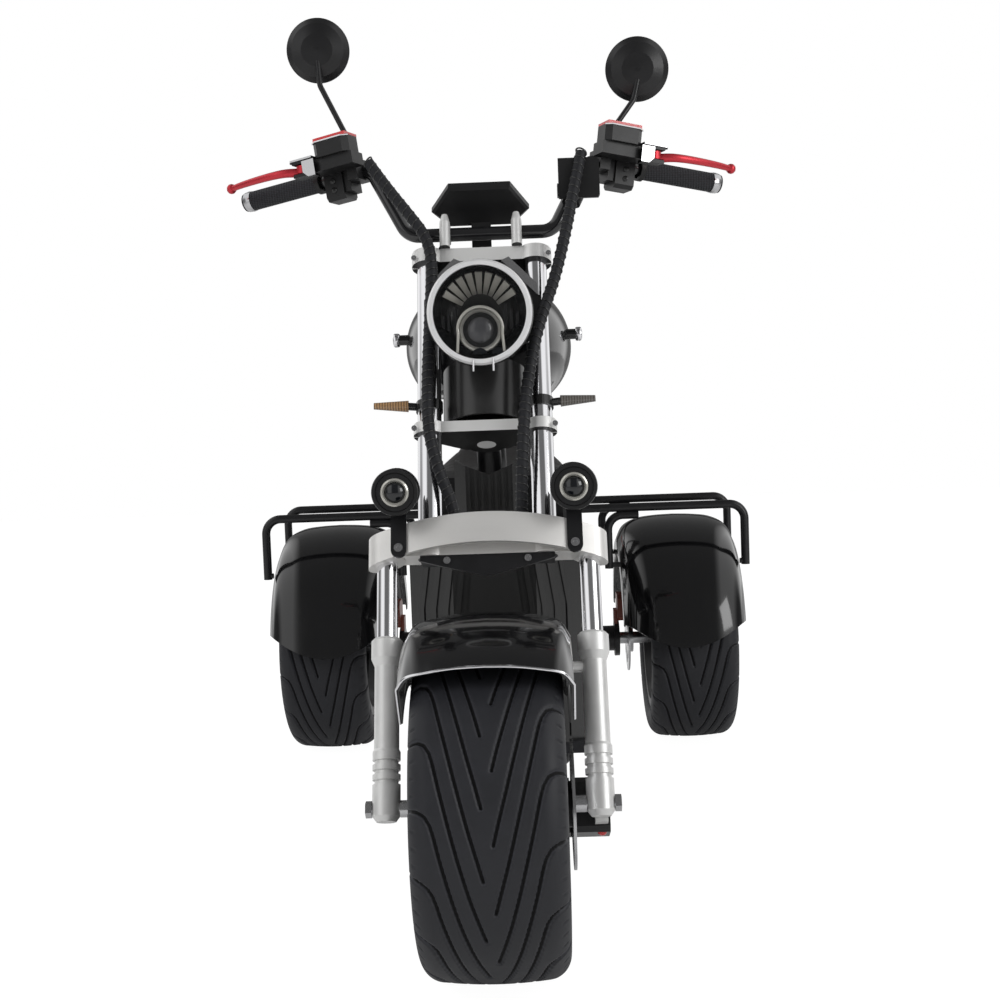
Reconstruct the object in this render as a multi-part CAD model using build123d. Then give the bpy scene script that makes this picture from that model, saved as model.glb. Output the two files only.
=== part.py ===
# Electric tricycle with one wide front wheel and two driven rear wheels.
# Millimetres. X points to the rider's left, Y to the rear, Z up from the ground.
# Everything is drawn with the front axle at Y = 0, and moved to the frame's origin when it is saved.
import math
import os

from build123d import *

os.makedirs("parts", exist_ok=True)

# Overall
LENGTH = 1960.0
WHEELBASE = 1400.0
REAR_TRACK = 843.0

# Wheels
TYRE_R = 236.5
RIM_R = 152.4
RIM_FLANGE = 12.0
FRONT_TYRE_W = 203.0
REAR_TYRE_W = 195.0
BEAD_INSET = 12.0
RUNNING_GAP = 0.05
FRONT_AXLE_R = 7.0
FRONT_HUB_HALF = 110.0
FRONT_DISC_R = 90.0
DISC_T = 4.0
HALF_SHAFT_R = 14.0
REAR_DISC_R = 78.0
REAR_DISC_X = 284.0
AXLE_TUBE_R = 30.0
AXLE_TUBE_END = 262.0
MOTOR_R = 78.0
MOTOR_HALF = 90.0

# Steering head and fork, measured along the fork line from the front axle
RAKE_DEG = 24.0
STEM_SETBACK = 40.0
STEM_R = 15.0
HEAD_TUBE_R = 30.0
TUBE_X = 86.0
TUBE_R = 18.5
LEG_X = 150.7
LEG_R = 18.0
STANCHION_R = 15.5
BRIDGE_BOTTOM = 352.0
BRIDGE_H = 46.0
BRIDGE_ARCH = 24.0
BRIDGE_BOW = 25.0
BRIDGE_WALL = 8.0
COLLAR_R = 28.0
YOKE_S = 366.0
YOKE_T = 20.0
MID_CLAMP_S = 566.0
MID_CLAMP_T = 18.0
TOP_CLAMP_S = 862.0
TOP_CLAMP_T = 24.0
SLIDER_TOP = 246.0
SLIDER_BOTTOM = -18.0
HEAD_GAP = 5.0

# Handlebar, in the vehicle's frame
BAR_R = 11.0
GRIP_R = 16.0
BAR_LOW = (366.0, 1078.0)
BAR_BEND_X = 118.0
BAR_UPPER = (178.0, 384.0, 1192.0)
GRIP_L = 138.0
GRIP_OUTER = (392.0, 468.0, 1160.0)

# Headlight
LAMP_Z = 938.0
LAMP_FACE_Y = 166.0
LAMP_R = 79.0
LAMP_RING_W = 9.0

# Body
TANK_HALF_W = 146.0
TANK_TOP = 1030.0
TANK_BOTTOM = 815.0
BACKBONE_R = 20.0
TUNNEL_HALF_W = 27.0
TANK_PEGS = ((458.0, 848.0), (548.0, 830.0))
DECK_HALF_W = 150.0
DECK_Z = 205.0
DECK_T = 20.0
CASE_HALF_W = 130.0
SHIELD_Y = 400.0
SHIELD_TOP = 606.0
RIB_PROUD = 4.0
SEAT_Z = 575.0
FENDER_X = (262.0, 533.0)
FENDER_GAP = 57.0
FENDER_T = 4.0
LIP_Z = (258.0, 305.0)
RACK_Z = 560.0
RACK_R = 9.5
RACK_LEG_Z = 422.0
RACK_X = (236.0, 546.0)
RACK_Y_FROM_AXLE = (-150.0, 140.0)

UP = (Align.CENTER, Align.CENTER, Align.MIN)
FORK = Plane(
    origin=(0, 0, TYRE_R),
    x_dir=(1, 0, 0),
    z_dir=(0, math.sin(math.radians(RAKE_DEG)), math.cos(math.radians(RAKE_DEG))),
)
SIDES = (-1, 1)


def fork(shape):
    """Move a shape drawn along the fork line (x, y rearward, s up the fork) to its place."""
    return FORK * shape


def fork_point(x, y, s):
    """A point of the fork's own frame in the vehicle's frame."""
    return FORK.from_local_coords(Vector(x, y, s))


def rod(start, end, radius):
    """A round bar between two points."""
    a, b = Vector(start), Vector(end)
    return Plane(origin=a, z_dir=b - a) * Cylinder(radius, (b - a).length, align=UP)


def block(xs, ys, zs):
    """A box from its low and high corners, axis by axis."""
    size = [high - low for low, high in (xs, ys, zs)]
    middle = [(low + high) / 2 for low, high in (xs, ys, zs)]
    return Pos(*middle) * Box(*size)


def front_view(outline, y, depth):
    """A solid from its outline as seen from the front (x, height), from y rearward by its depth."""
    return extrude(Plane(origin=(0, y, 0), x_dir=(1, 0, 0), z_dir=(0, -1, 0)) * outline, depth, dir=(0, 1, 0))


def top_view(outline, z, height):
    """A solid from its outline as seen from above, from z upward."""
    return extrude(Plane.XY.offset(z) * outline, height, dir=(0, 0, 1))


def side_view(outline, x, width):
    """A solid from its outline as seen from the rider's left (y, height), from x outward by its width."""
    return extrude(Plane(origin=(x, 0, 0), x_dir=(0, 1, 0), z_dir=(1, 0, 0)) * outline, width, dir=(1, 0, 0))


def bent_bar(points, bends, radius):
    """A round bar of straight runs joined by tangent arcs."""
    path = FilletPolyline(*points, radius=bends)
    return sweep(Plane(origin=path @ 0, z_dir=path % 0) * Circle(radius), path=path)


def largest_bends(points):
    """For a cable, the bend radius at each inner point: as large as its two runs allow."""
    bends = []
    for before, at, after in zip(points, points[1:], points[2:]):
        run_in, run_out = Vector(at) - Vector(before), Vector(after) - Vector(at)
        turn = math.radians(run_in.get_angle(run_out))
        bends.append(0.45 * min(run_in.length, run_out.length) / math.tan(turn / 2))
    return bends


def turned(points, axis=Axis.X):
    """A ring or wheel part from its half section (distance along the axle, radius)."""
    return revolve(make_face(Polyline(*points, close=True)), axis=axis)


def flip(shape):
    """The same shape on the other side of the vehicle."""
    return mirror(shape, about=Plane.YZ)


def both_sides(shape):
    """A left and a right copy of a shape."""
    return [shape, flip(shape)]


def save(node, *shapes):
    """Write one node, moved so that the origin is on the ground under the middle of the length."""
    solids = [solid for shape in shapes for solid in (shape if isinstance(shape, list) else [shape])]
    placed = [Pos(0, TYRE_R - LENGTH / 2, 0) * solid for solid in solids]
    flat = [one for shape in placed for one in shape.solids()]
    export_step(flat[0] if len(flat) == 1 else Compound(children=flat), f"parts/{node}.step")


# Tyres and rims

def tyre(width):
    """A low, wide tyre: flat crown, round shoulders, beads on the rim."""
    half = width / 2
    bead, crown = half - BEAD_INSET, half - 32
    foot = RIM_R + RIM_FLANGE
    wall = 13
    right = [
        Line((bead - 14, RIM_R), (bead, RIM_R)),
        Line((bead, RIM_R), (bead, foot)),
        ThreePointArc((bead, foot), (half - 1.5, TYRE_R - 60), (half, TYRE_R - 42)),
        ThreePointArc((half, TYRE_R - 42), (half - 9, TYRE_R - 14), (crown, TYRE_R - 4)),
    ]
    outer = ThreePointArc((crown, TYRE_R - 4), (0, TYRE_R), (-crown, TYRE_R - 4))
    inside = [
        Line((bead - 14, RIM_R), (bead - 14, foot + 6)),
        ThreePointArc((bead - 14, foot + 6), (half - wall, TYRE_R - 48), (crown - 4, TYRE_R - 4 - wall)),
    ]
    inner = ThreePointArc((crown - 4, TYRE_R - 4 - wall), (0, TYRE_R - wall), (4 - crown, TYRE_R - 4 - wall))
    side = right + inside
    edges = side + [outer, inner] + [mirror(edge, about=Plane.YZ) for edge in side]
    return revolve(make_face(edges), axis=Axis.X)


def rim(width, web_x, hub_r, hub_xs, bore_r):
    """A cast rim: well, flanges, a web with five windows, and a hub."""
    bead = width / 2 - BEAD_INSET
    flange = RIM_R + RIM_FLANGE
    well = RIM_R - 16
    wall = 6
    inner = RIM_R - wall
    barrel = turned([
        (bead + 5, flange), (bead, flange), (bead, RIM_R), (bead - 16, RIM_R), (bead - 26, well),
        (26 - bead, well), (16 - bead, RIM_R), (-bead, RIM_R), (-bead, flange), (-bead - 5, flange),
        (-bead - 5, inner), (20 - bead, well - wall), (bead - 20, well - wall), (bead + 5, inner),
    ])
    web = turned([
        (web_x - 22, hub_r - 2), (web_x - 12, hub_r + 28), (web_x - 8, well - wall + 2),
        (web_x + 8, well - wall + 2), (web_x + 12, hub_r + 28), (web_x + 22, hub_r - 2),
    ])
    window = Polygon(
        (hub_r + 22, -12), (well - 14, -48), (well - 14, 48), (hub_r + 22, 12), align=None
    )
    window = fillet(window.vertices(), 8)
    cutter = Plane(origin=(web_x - 40, 0, 0), x_dir=(0, 0, 1), z_dir=(1, 0, 0)) * extrude(window, 80)
    for spoke in range(5):
        web -= Rot(72 * spoke, 0, 0) * cutter
    hub = rod((hub_xs[0], 0, 0), (hub_xs[1], 0, 0), hub_r)
    return barrel + web + hub - rod((hub_xs[0] - 1, 0, 0), (hub_xs[1] + 1, 0, 0), bore_r)


def brake_disc(radius, inner_r, x0, vents):
    """A flat ring across the axle with a row of round vents."""
    through = ((x0 - 1, 0, 0), (x0 + DISC_T + 1, 0, 0))
    disc = rod((x0, 0, 0), (x0 + DISC_T, 0, 0), radius) - rod(*through, inner_r)
    for vent in range(vents):
        disc -= Rot(360 / vents * vent, 0, 0) * Pos(0, 0, radius * 0.62) * rod(*through, 11)
    return disc


AXLE_F = Pos(0, 0, TYRE_R)
save("front_tyre", AXLE_F * tyre(FRONT_TYRE_W))
front_hub = (-FRONT_HUB_HALF, FRONT_HUB_HALF)
save("front_rim", AXLE_F * rim(FRONT_TYRE_W, 0, 32, front_hub, FRONT_AXLE_R + RUNNING_GAP))
save("front_brake_disc", AXLE_F * brake_disc(FRONT_DISC_R, FRONT_AXLE_R + 13, FRONT_HUB_HALF, 8))

REAR_X = REAR_TRACK / 2
HUB_FACE = -20.0
for side, name in ((1, "left"), (-1, "right")):
    at_wheel = Pos(REAR_X, WHEELBASE, TYRE_R)
    at_axle = Pos(0, WHEELBASE, TYRE_R)
    pieces = {
        "rear_tyre": at_wheel * tyre(REAR_TYRE_W),
        "rear_rim": at_wheel * rim(REAR_TYRE_W, 22, 40, (HUB_FACE, 46), HALF_SHAFT_R),
        "rear_hub": at_axle * (
            rod((AXLE_TUBE_END - 72, 0, 0), (REAR_X + 46, 0, 0), HALF_SHAFT_R)
            + rod((REAR_X + HUB_FACE - 12, 0, 0), (REAR_X + HUB_FACE, 0, 0), 52)
            + rod((REAR_DISC_X, 0, 0), (REAR_DISC_X + 10, 0, 0), 34)
            + rod((REAR_X + 46, 0, 0), (REAR_X + 58, 0, 0), 24)
            + brake_disc(REAR_DISC_R, HALF_SHAFT_R - 1, REAR_DISC_X - DISC_T, 8)
        ),
    }
    for piece, shape in pieces.items():
        save(f"{piece}_{name}", shape if side > 0 else flip(shape))

# Front axle, fork and its clamps

LEG_FACE = LEG_X - LEG_R - 2
AXLE_END = LEG_X + LEG_R + 4
axle = rod((-AXLE_END, 0, 0), (AXLE_END, 0, 0), FRONT_AXLE_R)
for side in SIDES:
    axle += rod((side * (FRONT_HUB_HALF + DISC_T + 1), 0, 0), (side * LEG_FACE, 0, 0), 12)
    nut = extrude(RegularPolygon(12, 6), 9)
    axle += Plane(origin=(side * (LEG_X + LEG_R + 2), 0, 0), z_dir=(side, 0, 0)) * nut
save("front_axle", fork(axle))


def slider(side):
    """A lower fork leg: foot, barrel, collar, and the boss that carries the fender."""
    leg = turned([
        (SLIDER_BOTTOM, 0), (SLIDER_BOTTOM, 14), (SLIDER_BOTTOM + 8, LEG_R + 2), (80, LEG_R + 2),
        (84, LEG_R), (SLIDER_TOP - 42, LEG_R), (SLIDER_TOP - 30, 23), (SLIDER_TOP - 4, 23),
        (SLIDER_TOP, 19), (SLIDER_TOP, 0),
    ])
    for groove in SLIDER_GROOVES:
        leg -= turned([(groove, LEG_R - 1), (groove, 30), (groove + 6, 30), (groove + 6, LEG_R - 1)])
    leg = Rot(0, -90, 0) * leg
    leg -= Pos(0, 0, SLIDER_TOP - 45) * Cylinder(STANCHION_R, 50, align=UP)
    leg = Pos(side * LEG_X, 0, 0) * leg
    boss = rod((side * (LEG_X - 12), 0, BOSS_S), (side * (FENDER_HALF_W + FENDER_T - 1), 0, BOSS_S), 8)
    lug_xs = sorted((side * (LEG_X - 8), side * (LEG_X + 10)))
    lug = block(lug_xs, (10, CALLIPER_FRONT), (CALLIPER_S[0] + 10, CALLIPER_S[1] - 10))
    leg += boss if side < 0 else boss + lug
    leg -= Pos(side * LEG_X, 0, SLIDER_TOP - 45) * Cylinder(STANCHION_R, 60, align=UP)
    return leg - rod((side * 100, 0, 0), (side * 200, 0, 0), FRONT_AXLE_R)


BOSS_S = 196.0
SLIDER_GROOVES = (34.0, 48.0, 62.0)
FENDER_HALF_W = 112.0
CALLIPER_S = (-34.0, 44.0)
CALLIPER_FRONT = 38.0
save("fork_sliders", [fork(slider(side)) for side in SIDES])

STANCHION_END = YOKE_S + YOKE_T + 6
TUBE_END = TOP_CLAMP_S + TOP_CLAMP_T + 4
tubes = []
for side in SIDES:
    tubes.append(rod((side * LEG_X, 0, SLIDER_TOP - 45), (side * LEG_X, 0, STANCHION_END), STANCHION_R))
    tubes.append(rod((side * TUBE_X, 0, YOKE_S), (side * TUBE_X, 0, TUBE_END), TUBE_R))
save("fork_tubes", [fork(tube) for tube in tubes])


def clamp_plate(s, thickness, lug_r):
    """A fork clamp: a waisted plate round both tubes and the stem, with split lugs."""
    arm = Polygon((-TUBE_X, -lug_r + 8), (TUBE_X, -lug_r + 8), (TUBE_X, lug_r - 4), (34, STEM_SETBACK + 18),
                  (-34, STEM_SETBACK + 18), (-TUBE_X, lug_r - 4), align=None)
    outline = arm + Pos(0, STEM_SETBACK) * Circle(32)
    for side in SIDES:
        outline += Pos(side * TUBE_X, 0) * Circle(lug_r)
    outline -= Pos(0, STEM_SETBACK) * Circle(STEM_R)
    for side in SIDES:
        outline -= Pos(side * TUBE_X, 0) * Circle(TUBE_R)
        outline -= Pos(side * (TUBE_X + lug_r), 0) * Rectangle(lug_r, 3)
    return Pos(0, 0, s) * extrude(outline, thickness)


RISER_X = 58.0
RISER_R = 8.5
RISER_SET = 14.0
BAR_S = FORK.to_local_coords(Vector(0, *BAR_LOW)).Z
BAR_Y = FORK.to_local_coords(Vector(0, *BAR_LOW)).Y
top_clamp = clamp_plate(TOP_CLAMP_S, TOP_CLAMP_T, 27)
for side in SIDES:
    foot = (side * RISER_X, BAR_Y - RISER_SET, TOP_CLAMP_S + TOP_CLAMP_T)
    head = (side * RISER_X, BAR_Y - RISER_SET, BAR_S + 14)
    post = rod(foot, head, RISER_R) + Pos(*head) * Cone(RISER_R, 5, 14, align=UP)
    post += rod((side * RISER_X - RISER_R, BAR_Y, BAR_S), (side * RISER_X + RISER_R, BAR_Y, BAR_S), BAR_R + 5)
    top_clamp += post - rod((-TUBE_X, BAR_Y, BAR_S), (TUBE_X, BAR_Y, BAR_S), BAR_R)
save("fork_clamps", fork(top_clamp), fork(clamp_plate(MID_CLAMP_S, MID_CLAMP_T, 25)))

stem = Pos(0, STEM_SETBACK, MID_CLAMP_S) * Cylinder(STEM_R, TOP_CLAMP_S + TOP_CLAMP_T - MID_CLAMP_S, align=UP)
stem += Pos(0, STEM_SETBACK, TOP_CLAMP_S + TOP_CLAMP_T) * Cylinder(19, 24, align=UP)
save("steering_stem", fork(stem))

# The bowed band across the fork: its ends curl round the legs, and a yoke behind it clamps all four tubes

half_band = LEG_X + COLLAR_R + 2
band_end_x = LEG_X + 8
band_end_y = -math.sqrt(COLLAR_R**2 - 8**2)


def arched(low, high):
    """A front view of the band between two heights at its ends, arched at the middle."""
    return make_face([
        ThreePointArc((-half_band, high), (0, high + BRIDGE_ARCH), (half_band, high)),
        Line((half_band, high), (half_band, low)),
        ThreePointArc((half_band, low), (0, low + BRIDGE_ARCH), (-half_band, low)),
        Line((-half_band, low), (-half_band, high)),
    ])


def bowed(offset, back):
    """A top view from the band's bowed front, moved back by an offset, to a straight back."""
    y = band_end_y + offset
    front = ThreePointArc((-band_end_x, y), (0, y - BRIDGE_BOW), (band_end_x, y))
    rest = Polyline((band_end_x, y), (band_end_x, back), (-band_end_x, back), (-band_end_x, y))
    return make_face([front, *rest.edges()])


band_plan = bowed(0, 60) - bowed(BRIDGE_WALL, 60)
yoke_plan = Rectangle(2 * LEG_X, 44)
for side in SIDES:
    band_plan += Pos(side * LEG_X, 0) * Circle(COLLAR_R)
    yoke_plan += Pos(side * TUBE_X, 0) * Circle(TUBE_R + 8)
band = Pos(0, 0, BRIDGE_BOTTOM - 5) * extrude(band_plan, BRIDGE_H + BRIDGE_ARCH + 10)
band &= front_view(arched(BRIDGE_BOTTOM, BRIDGE_BOTTOM + BRIDGE_H), -100, 200)
bridge = band + Pos(0, 0, YOKE_S) * extrude(yoke_plan, YOKE_T)
for side in SIDES:
    bridge -= rod((side * LEG_X, 0, BRIDGE_BOTTOM - 10), (side * LEG_X, 0, STANCHION_END), STANCHION_R)
    bridge -= rod((side * TUBE_X, 0, YOKE_S), (side * TUBE_X, 0, YOKE_S + 200), TUBE_R)
save("fork_bridge", fork(bridge))

apron = Polygon((-100, 0), (100, 0), (100, -8), (72, -16), (0, -34), (-72, -16), (-100, -8), align=None)
apron = Pos(0, 0, YOKE_S) * front_view(apron, -21, 5)
under = block((-100, 100), (-16, 16), (YOKE_S - 6, YOKE_S))
save("bridge_plate", fork(apron + under - bridge))

# Front fender, carried by the fork legs

FRONT_FENDER_R = TYRE_R + 33
FENDER_FROM, FENDER_TO = -34.0, 62.0


def arch_section(half, top, skirt, thickness, shoulder):
    """A fender's cross section: side skirts, sloped shoulders and a crowned top."""
    def line(inset):
        return [(-half + inset, skirt), (-half + inset, top - shoulder - inset * 0.4),
                (-half * 0.62 + inset * 0.3, top - inset - 6), (0, top - inset),
                (half * 0.62 - inset * 0.3, top - inset - 6), (half - inset, top - shoulder - inset * 0.4),
                (half - inset, skirt)]
    return Polyline(*line(0), *reversed(line(thickness)), close=True)


section = make_face(arch_section(FENDER_HALF_W + FENDER_T, FRONT_FENDER_R + FENDER_T, 172, FENDER_T, 30))
ring = revolve(Rot(0, 0, 0) * section, axis=Axis.X, revolution_arc=FENDER_TO - FENDER_FROM)
fender = AXLE_F * (Rot(90 - FENDER_TO, 0, 0) * ring)
save("front_fender", fender - [fork(slider(side)) for side in SIDES])

calliper = block((FRONT_HUB_HALF - 5, LEG_X + 14), (CALLIPER_FRONT, 108), CALLIPER_S)
calliper = chamfer(calliper.edges().filter_by(Axis.X), 8)
calliper -= rod((FRONT_HUB_HALF - 2, 0, 0), (FRONT_HUB_HALF + DISC_T + 2, 0, 0), FRONT_DISC_R + 4)
save("front_calliper", fork(calliper))

# Handlebar and what it carries

left_points = [(BAR_BEND_X, *BAR_LOW), BAR_UPPER, GRIP_OUTER]
handlebar = bent_bar([(-x, y, z) for x, y, z in reversed(left_points)] + left_points, [26, 30, 30, 26], BAR_R)
save("handlebar", handlebar)

g0, g1 = Vector(*BAR_UPPER), Vector(*GRIP_OUTER)
g_dir = (g1 - g0).normalized()


def on_bar(distance):
    """A point on the grip line, a distance outward from the bar's upper bend."""
    return g0 + g_dir * distance


BAR_END = (g1 - g0).length
grip = rod(on_bar(BAR_END - GRIP_L), on_bar(BAR_END), GRIP_R) - handlebar
grip += rod(on_bar(BAR_END), on_bar(BAR_END + 10), GRIP_R - 1)
save("grips", both_sides(grip))


def along_bar(shape):
    """Place a shape drawn with x outward along the grip line and its bar centre at 0, 0."""
    z = Vector(0, 0, 1)
    y = z.cross(g_dir).normalized()
    up = g_dir.cross(y)
    return Plane(origin=g0, x_dir=g_dir, z_dir=up) * shape


pod = chamfer(block((42, 76), (-22, 22), (-40, 16)).edges().filter_by(Axis.X), 6)
pod = along_bar(pod + block((30, 44), (-18, 18), (-30, 14))) - handlebar
reservoir = block((0, 64), (-70, -22), (22, 48))
reservoir = chamfer(reservoir.edges().filter_by(Axis.Z), 9)
perch = block((70, 104), (-70, -44), (20, 25)) + block((70, 104), (-70, -44), (-1, 4))
cylinder = block((10, 28), (-30, 18), (-16, 18)) + block((-2, 78), (-62, -24), (2, 22)) + reservoir + perch
cylinder = along_bar(cylinder) - handlebar
save("bar_controls", both_sides(pod), both_sides(cylinder))

lever = bent_bar([(0, 0, 0), (40, -14, 0), (150, 14, -2)], [30], 5.5)
lever += Pos(150, 14, -2) * Sphere(8)
lever += Pos(0, 0, -8) * Cylinder(12, 16, align=UP)
save("brake_levers", both_sides(along_bar(Pos(91, -56, 12) * lever)))

# Mirror heads and their stems: side, head centre, knee
MIRROR_R = 52.0
mirrors = []
for side, head, knee in (
    (1, (265, 414, 1343), (257, 402, 1290)),
    (-1, (260, 414, 1395), (257, 402, 1334)),
):
    foot = tuple(along_bar(Pos(14, -8, 18) * Sphere(1)).center())
    stem_rod = bent_bar([foot, knee, (head[0], head[1] - 6, head[2] - 20)], [18], 4.5)
    shell = turned([(0, 0), (0, MIRROR_R), (5, MIRROR_R), (14, MIRROR_R - 9), (20, MIRROR_R - 26), (22, 0)])
    shell = Pos(head[0], head[1] + 8, head[2]) * (Rot(8, 0, 0) * (Rot(0, 0, -90) * shell))
    one = stem_rod + shell - cylinder
    mirrors.append(one if side > 0 else flip(one))
save("mirrors", mirrors)

# Display on its post, and the phone clamp on the left of the bar
bezel = Polygon((-52, 38), (52, 38), (80, 8), (50, -38), (-50, -38), (-80, 8), align=None)
display = chamfer(extrude(bezel, 16).edges().group_by(Axis.Z)[0], 4)
display -= Pos(0, 0, 14.5) * extrude(offset(bezel, -7), 4)
display = Plane(origin=(0, 384, 1132), x_dir=(1, 0, 0), z_dir=(0, 0.72, 0.69)) * display
stem_top = fork_point(0, STEM_SETBACK, TOP_CLAMP_S + TOP_CLAMP_T + 24)
display += block((-16, 16), (stem_top.Y - 14, stem_top.Y - 8), (stem_top.Z - 20, 1136)) - fork(stem)
save("display", display)

phone = block((128, 192), (342, 350), (1126, 1190)) + block((126, 132), (342, 366), (1130, 1150))
phone += block((188, 194), (342, 366), (1130, 1186)) + block((134, 150), (350, 372), (1132, 1150))
phone += rod((147, 372, 1124), (158, 380, 1146), 17)
phone -= handlebar

# Headlight: bucket with projector, ring, lens, and its bracket on the fork tubes
lamp = Plane(origin=(0, LAMP_FACE_Y, LAMP_Z), x_dir=(1, 0, 0), z_dir=(0, 1, 0))


def lamp_turned(points):
    """A round lamp part from (depth behind the face, radius) pairs."""
    shape = turned(points)
    return Pos(0, LAMP_FACE_Y, LAMP_Z) * (Rot(0, 0, 90) * shape)


shell = lamp_turned([(16, 0), (16, LAMP_R - 3), (40, LAMP_R - 8), (74, LAMP_R - 24), (98, LAMP_R - 36),
                     (98, 0)])
shell -= lamp_turned([(0, 0), (0, LAMP_R - 8), (40, LAMP_R - 14), (60, 34), (60, 0)])
shell += Pos(0, LAMP_FACE_Y + 62, LAMP_Z - 26) * (Rot(90, 0, 0) * Cylinder(33, 46, align=UP))
ears = Polygon((-92, 730), (-92, 792), (-36, 850), (36, 850), (92, 792), (92, 730), (60, 706), (-60, 706),
               align=None)
ears = fork(front_view(ears, -TUBE_R - 4, 5))
behind_ears = fork(block((-90, 90), (1 - TUBE_R, 100), (600, 900)))
ears += rod((0, LAMP_FACE_Y + 96, LAMP_Z), (0, LAMP_FACE_Y + 126, LAMP_Z), 18) - behind_ears
save("headlight_shell", shell + ears - [fork(tube) for tube in tubes])
ring_in = LAMP_R - LAMP_RING_W
save("headlight_ring", lamp_turned([(0, ring_in), (0, LAMP_R - 3), (5, LAMP_R), (16, LAMP_R), (16, ring_in)]))
save("headlight_lens", lamp_turned([(2, 0), (2, ring_in), (6, ring_in), (6, 0)]))

SIGNAL_S = 615.0
signal = rod((TUBE_X, 0, SIGNAL_S - 8), (TUBE_X, 0, SIGNAL_S + 8), TUBE_R + 2.5)
signal += rod((TUBE_X, 0, SIGNAL_S), (TUBE_X + 34, -8, SIGNAL_S), 6)
signal -= Pos(TUBE_X, 0, 0) * Cylinder(TUBE_R, 2000)
signal += Plane(origin=(TUBE_X + 32, -8, SIGNAL_S), z_dir=(1, -0.1, 0)) * Cone(9, 5, 54, align=UP)
save("front_turn_signals", [fork(one) for one in both_sides(signal)])

FOG_X, FOG_Y, FOG_Z, FOG_R = 130.0, 92.0, 677.0, 33.0
fog = turned([(0, 0), (0, FOG_R), (16, FOG_R), (40, FOG_R - 10), (58, 12), (58, 0)])
fog = Pos(FOG_X, FOG_Y, FOG_Z) * (Rot(0, 0, 90) * fog)
fog_back = FORK.to_local_coords(Vector(0, FOG_Y + 58, FOG_Z))
strap = block((FOG_X - 11.5, FOG_X + 11.5), (-42, -36), (BRIDGE_BOTTOM + 18, fog_back.Z + 12))
strap += rod((FOG_X, -42, BRIDGE_BOTTOM + 18), (FOG_X, -36, BRIDGE_BOTTOM + 18), 11.5)
strap += rod((FOG_X, fog_back.Y - 8, fog_back.Z), (FOG_X, -38, fog_back.Z), 8)
strap -= bridge
save("fog_lamps", both_sides(fog + fork(strap)))

LOOM_R = 9.0
LOOM_END = YOKE_S + YOKE_T + 0.3
looms = []
for route in (
    ((-176, -80, 1014), (-150, -70, 976), (-111, -57, 926), (-86, -46, 893), (-77, -41, 850), (-80, -40, 780),
     (-86, -40, 650), (-86, -39, 560), (-71, -30, 498), (-46, -6, 436), (-46, -6, LOOM_END)),
    ((166, -78, 1018), (150, -66, 949), (138, -52, 895), (117, -42, 813), (96, -41, 755), (80, -40, 700),
     (65, -40, 617), (58, -36, 540), (52, -8, 440), (52, -8, LOOM_END)),
):
    points = [tuple(point) for point in route]
    looms.append(bent_bar(points, largest_bends(points), LOOM_R))
looms = [fork(loom) - both_sides(cylinder) for loom in looms]
save("cable_looms", looms)
save("phone_holder", phone - looms - cylinder)

# Frame: head tube, backbone and downtube

head = Pos(0, STEM_SETBACK, MID_CLAMP_S + MID_CLAMP_T + HEAD_GAP) * Cylinder(
    HEAD_TUBE_R, TOP_CLAMP_S - MID_CLAMP_S - MID_CLAMP_T - 2 * HEAD_GAP, align=UP)
head_bore = Pos(0, STEM_SETBACK, 0) * Cylinder(STEM_R + RUNNING_GAP, 2000)
DECK_REAR_Y = WHEELBASE - 380
SEAT_FRONT_Y = WHEELBASE - 560
TAIL_RAIL_Y = LENGTH - TYRE_R - 55
down_tube = bent_bar([(0, 300, 790), (0, 440, 650), (0, 440, DECK_Z - 14)], [120], 20)
backbone_points = [(0, 330, 866), (0, 520, 840), (0, SEAT_FRONT_Y - 40, 700), (0, SEAT_FRONT_Y, SEAT_Z - 20)]
backbone = bent_bar(backbone_points, [200, 100], BACKBONE_R)
main_frame = fork(head) + down_tube + backbone - fork(head_bore)
RAIL_X = 105.0
RAIL_Z = DECK_Z - 15
for side in SIDES:
    rail = [(side * 20, 436, RAIL_Z), (side * RAIL_X, 450, RAIL_Z), (side * RAIL_X, DECK_REAR_Y, RAIL_Z),
            (side * (RAIL_X - 10), DECK_REAR_Y + 60, SEAT_Z - 40)]
    main_frame += bent_bar(rail, [12, 60], 15)
main_frame += rod((-RAIL_X, DECK_REAR_Y - 60, RAIL_Z), (RAIL_X, DECK_REAR_Y - 60, RAIL_Z), 14)
main_frame += rod((-30, 436, RAIL_Z), (30, 436, RAIL_Z), 15)
for y, z in TANK_PEGS:
    main_frame += rod((-TUNNEL_HALF_W, y, z), (TUNNEL_HALF_W, y, z), 9)
save("main_frame", main_frame)

BACK_TUBE_R = 9.5
BACK_LOW = (WHEELBASE + 110, SEAT_Z + 60)
BACK_HIGH = (WHEELBASE + 150, SEAT_Z + 450)
seat_frame = rod((-95, SEAT_FRONT_Y, SEAT_Z - 25), (95, SEAT_FRONT_Y, SEAT_Z - 25), 14)
for side in SIDES:
    seat_frame += rod((side * 95, SEAT_FRONT_Y, SEAT_Z - 25), (side * 95, TAIL_RAIL_Y, SEAT_Z - 25), 14)
    post = [(side * 95, WHEELBASE + 60, SEAT_Z - 25), (side * 95, *BACK_LOW), (side * 95, *BACK_HIGH)]
    seat_frame += bent_bar(post, [60], BACK_TUBE_R)
for y in (WHEELBASE - 160, WHEELBASE + 140, TAIL_RAIL_Y):
    seat_frame += rod((-95, y, SEAT_Z - 25), (95, y, SEAT_Z - 25), 12)
seat_frame += block((-110, 110), (SEAT_FRONT_Y + 20, WHEELBASE + 20), (SEAT_Z - 15, SEAT_Z - 5))
seat_frame -= main_frame
save("seat_frame", seat_frame)

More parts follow.
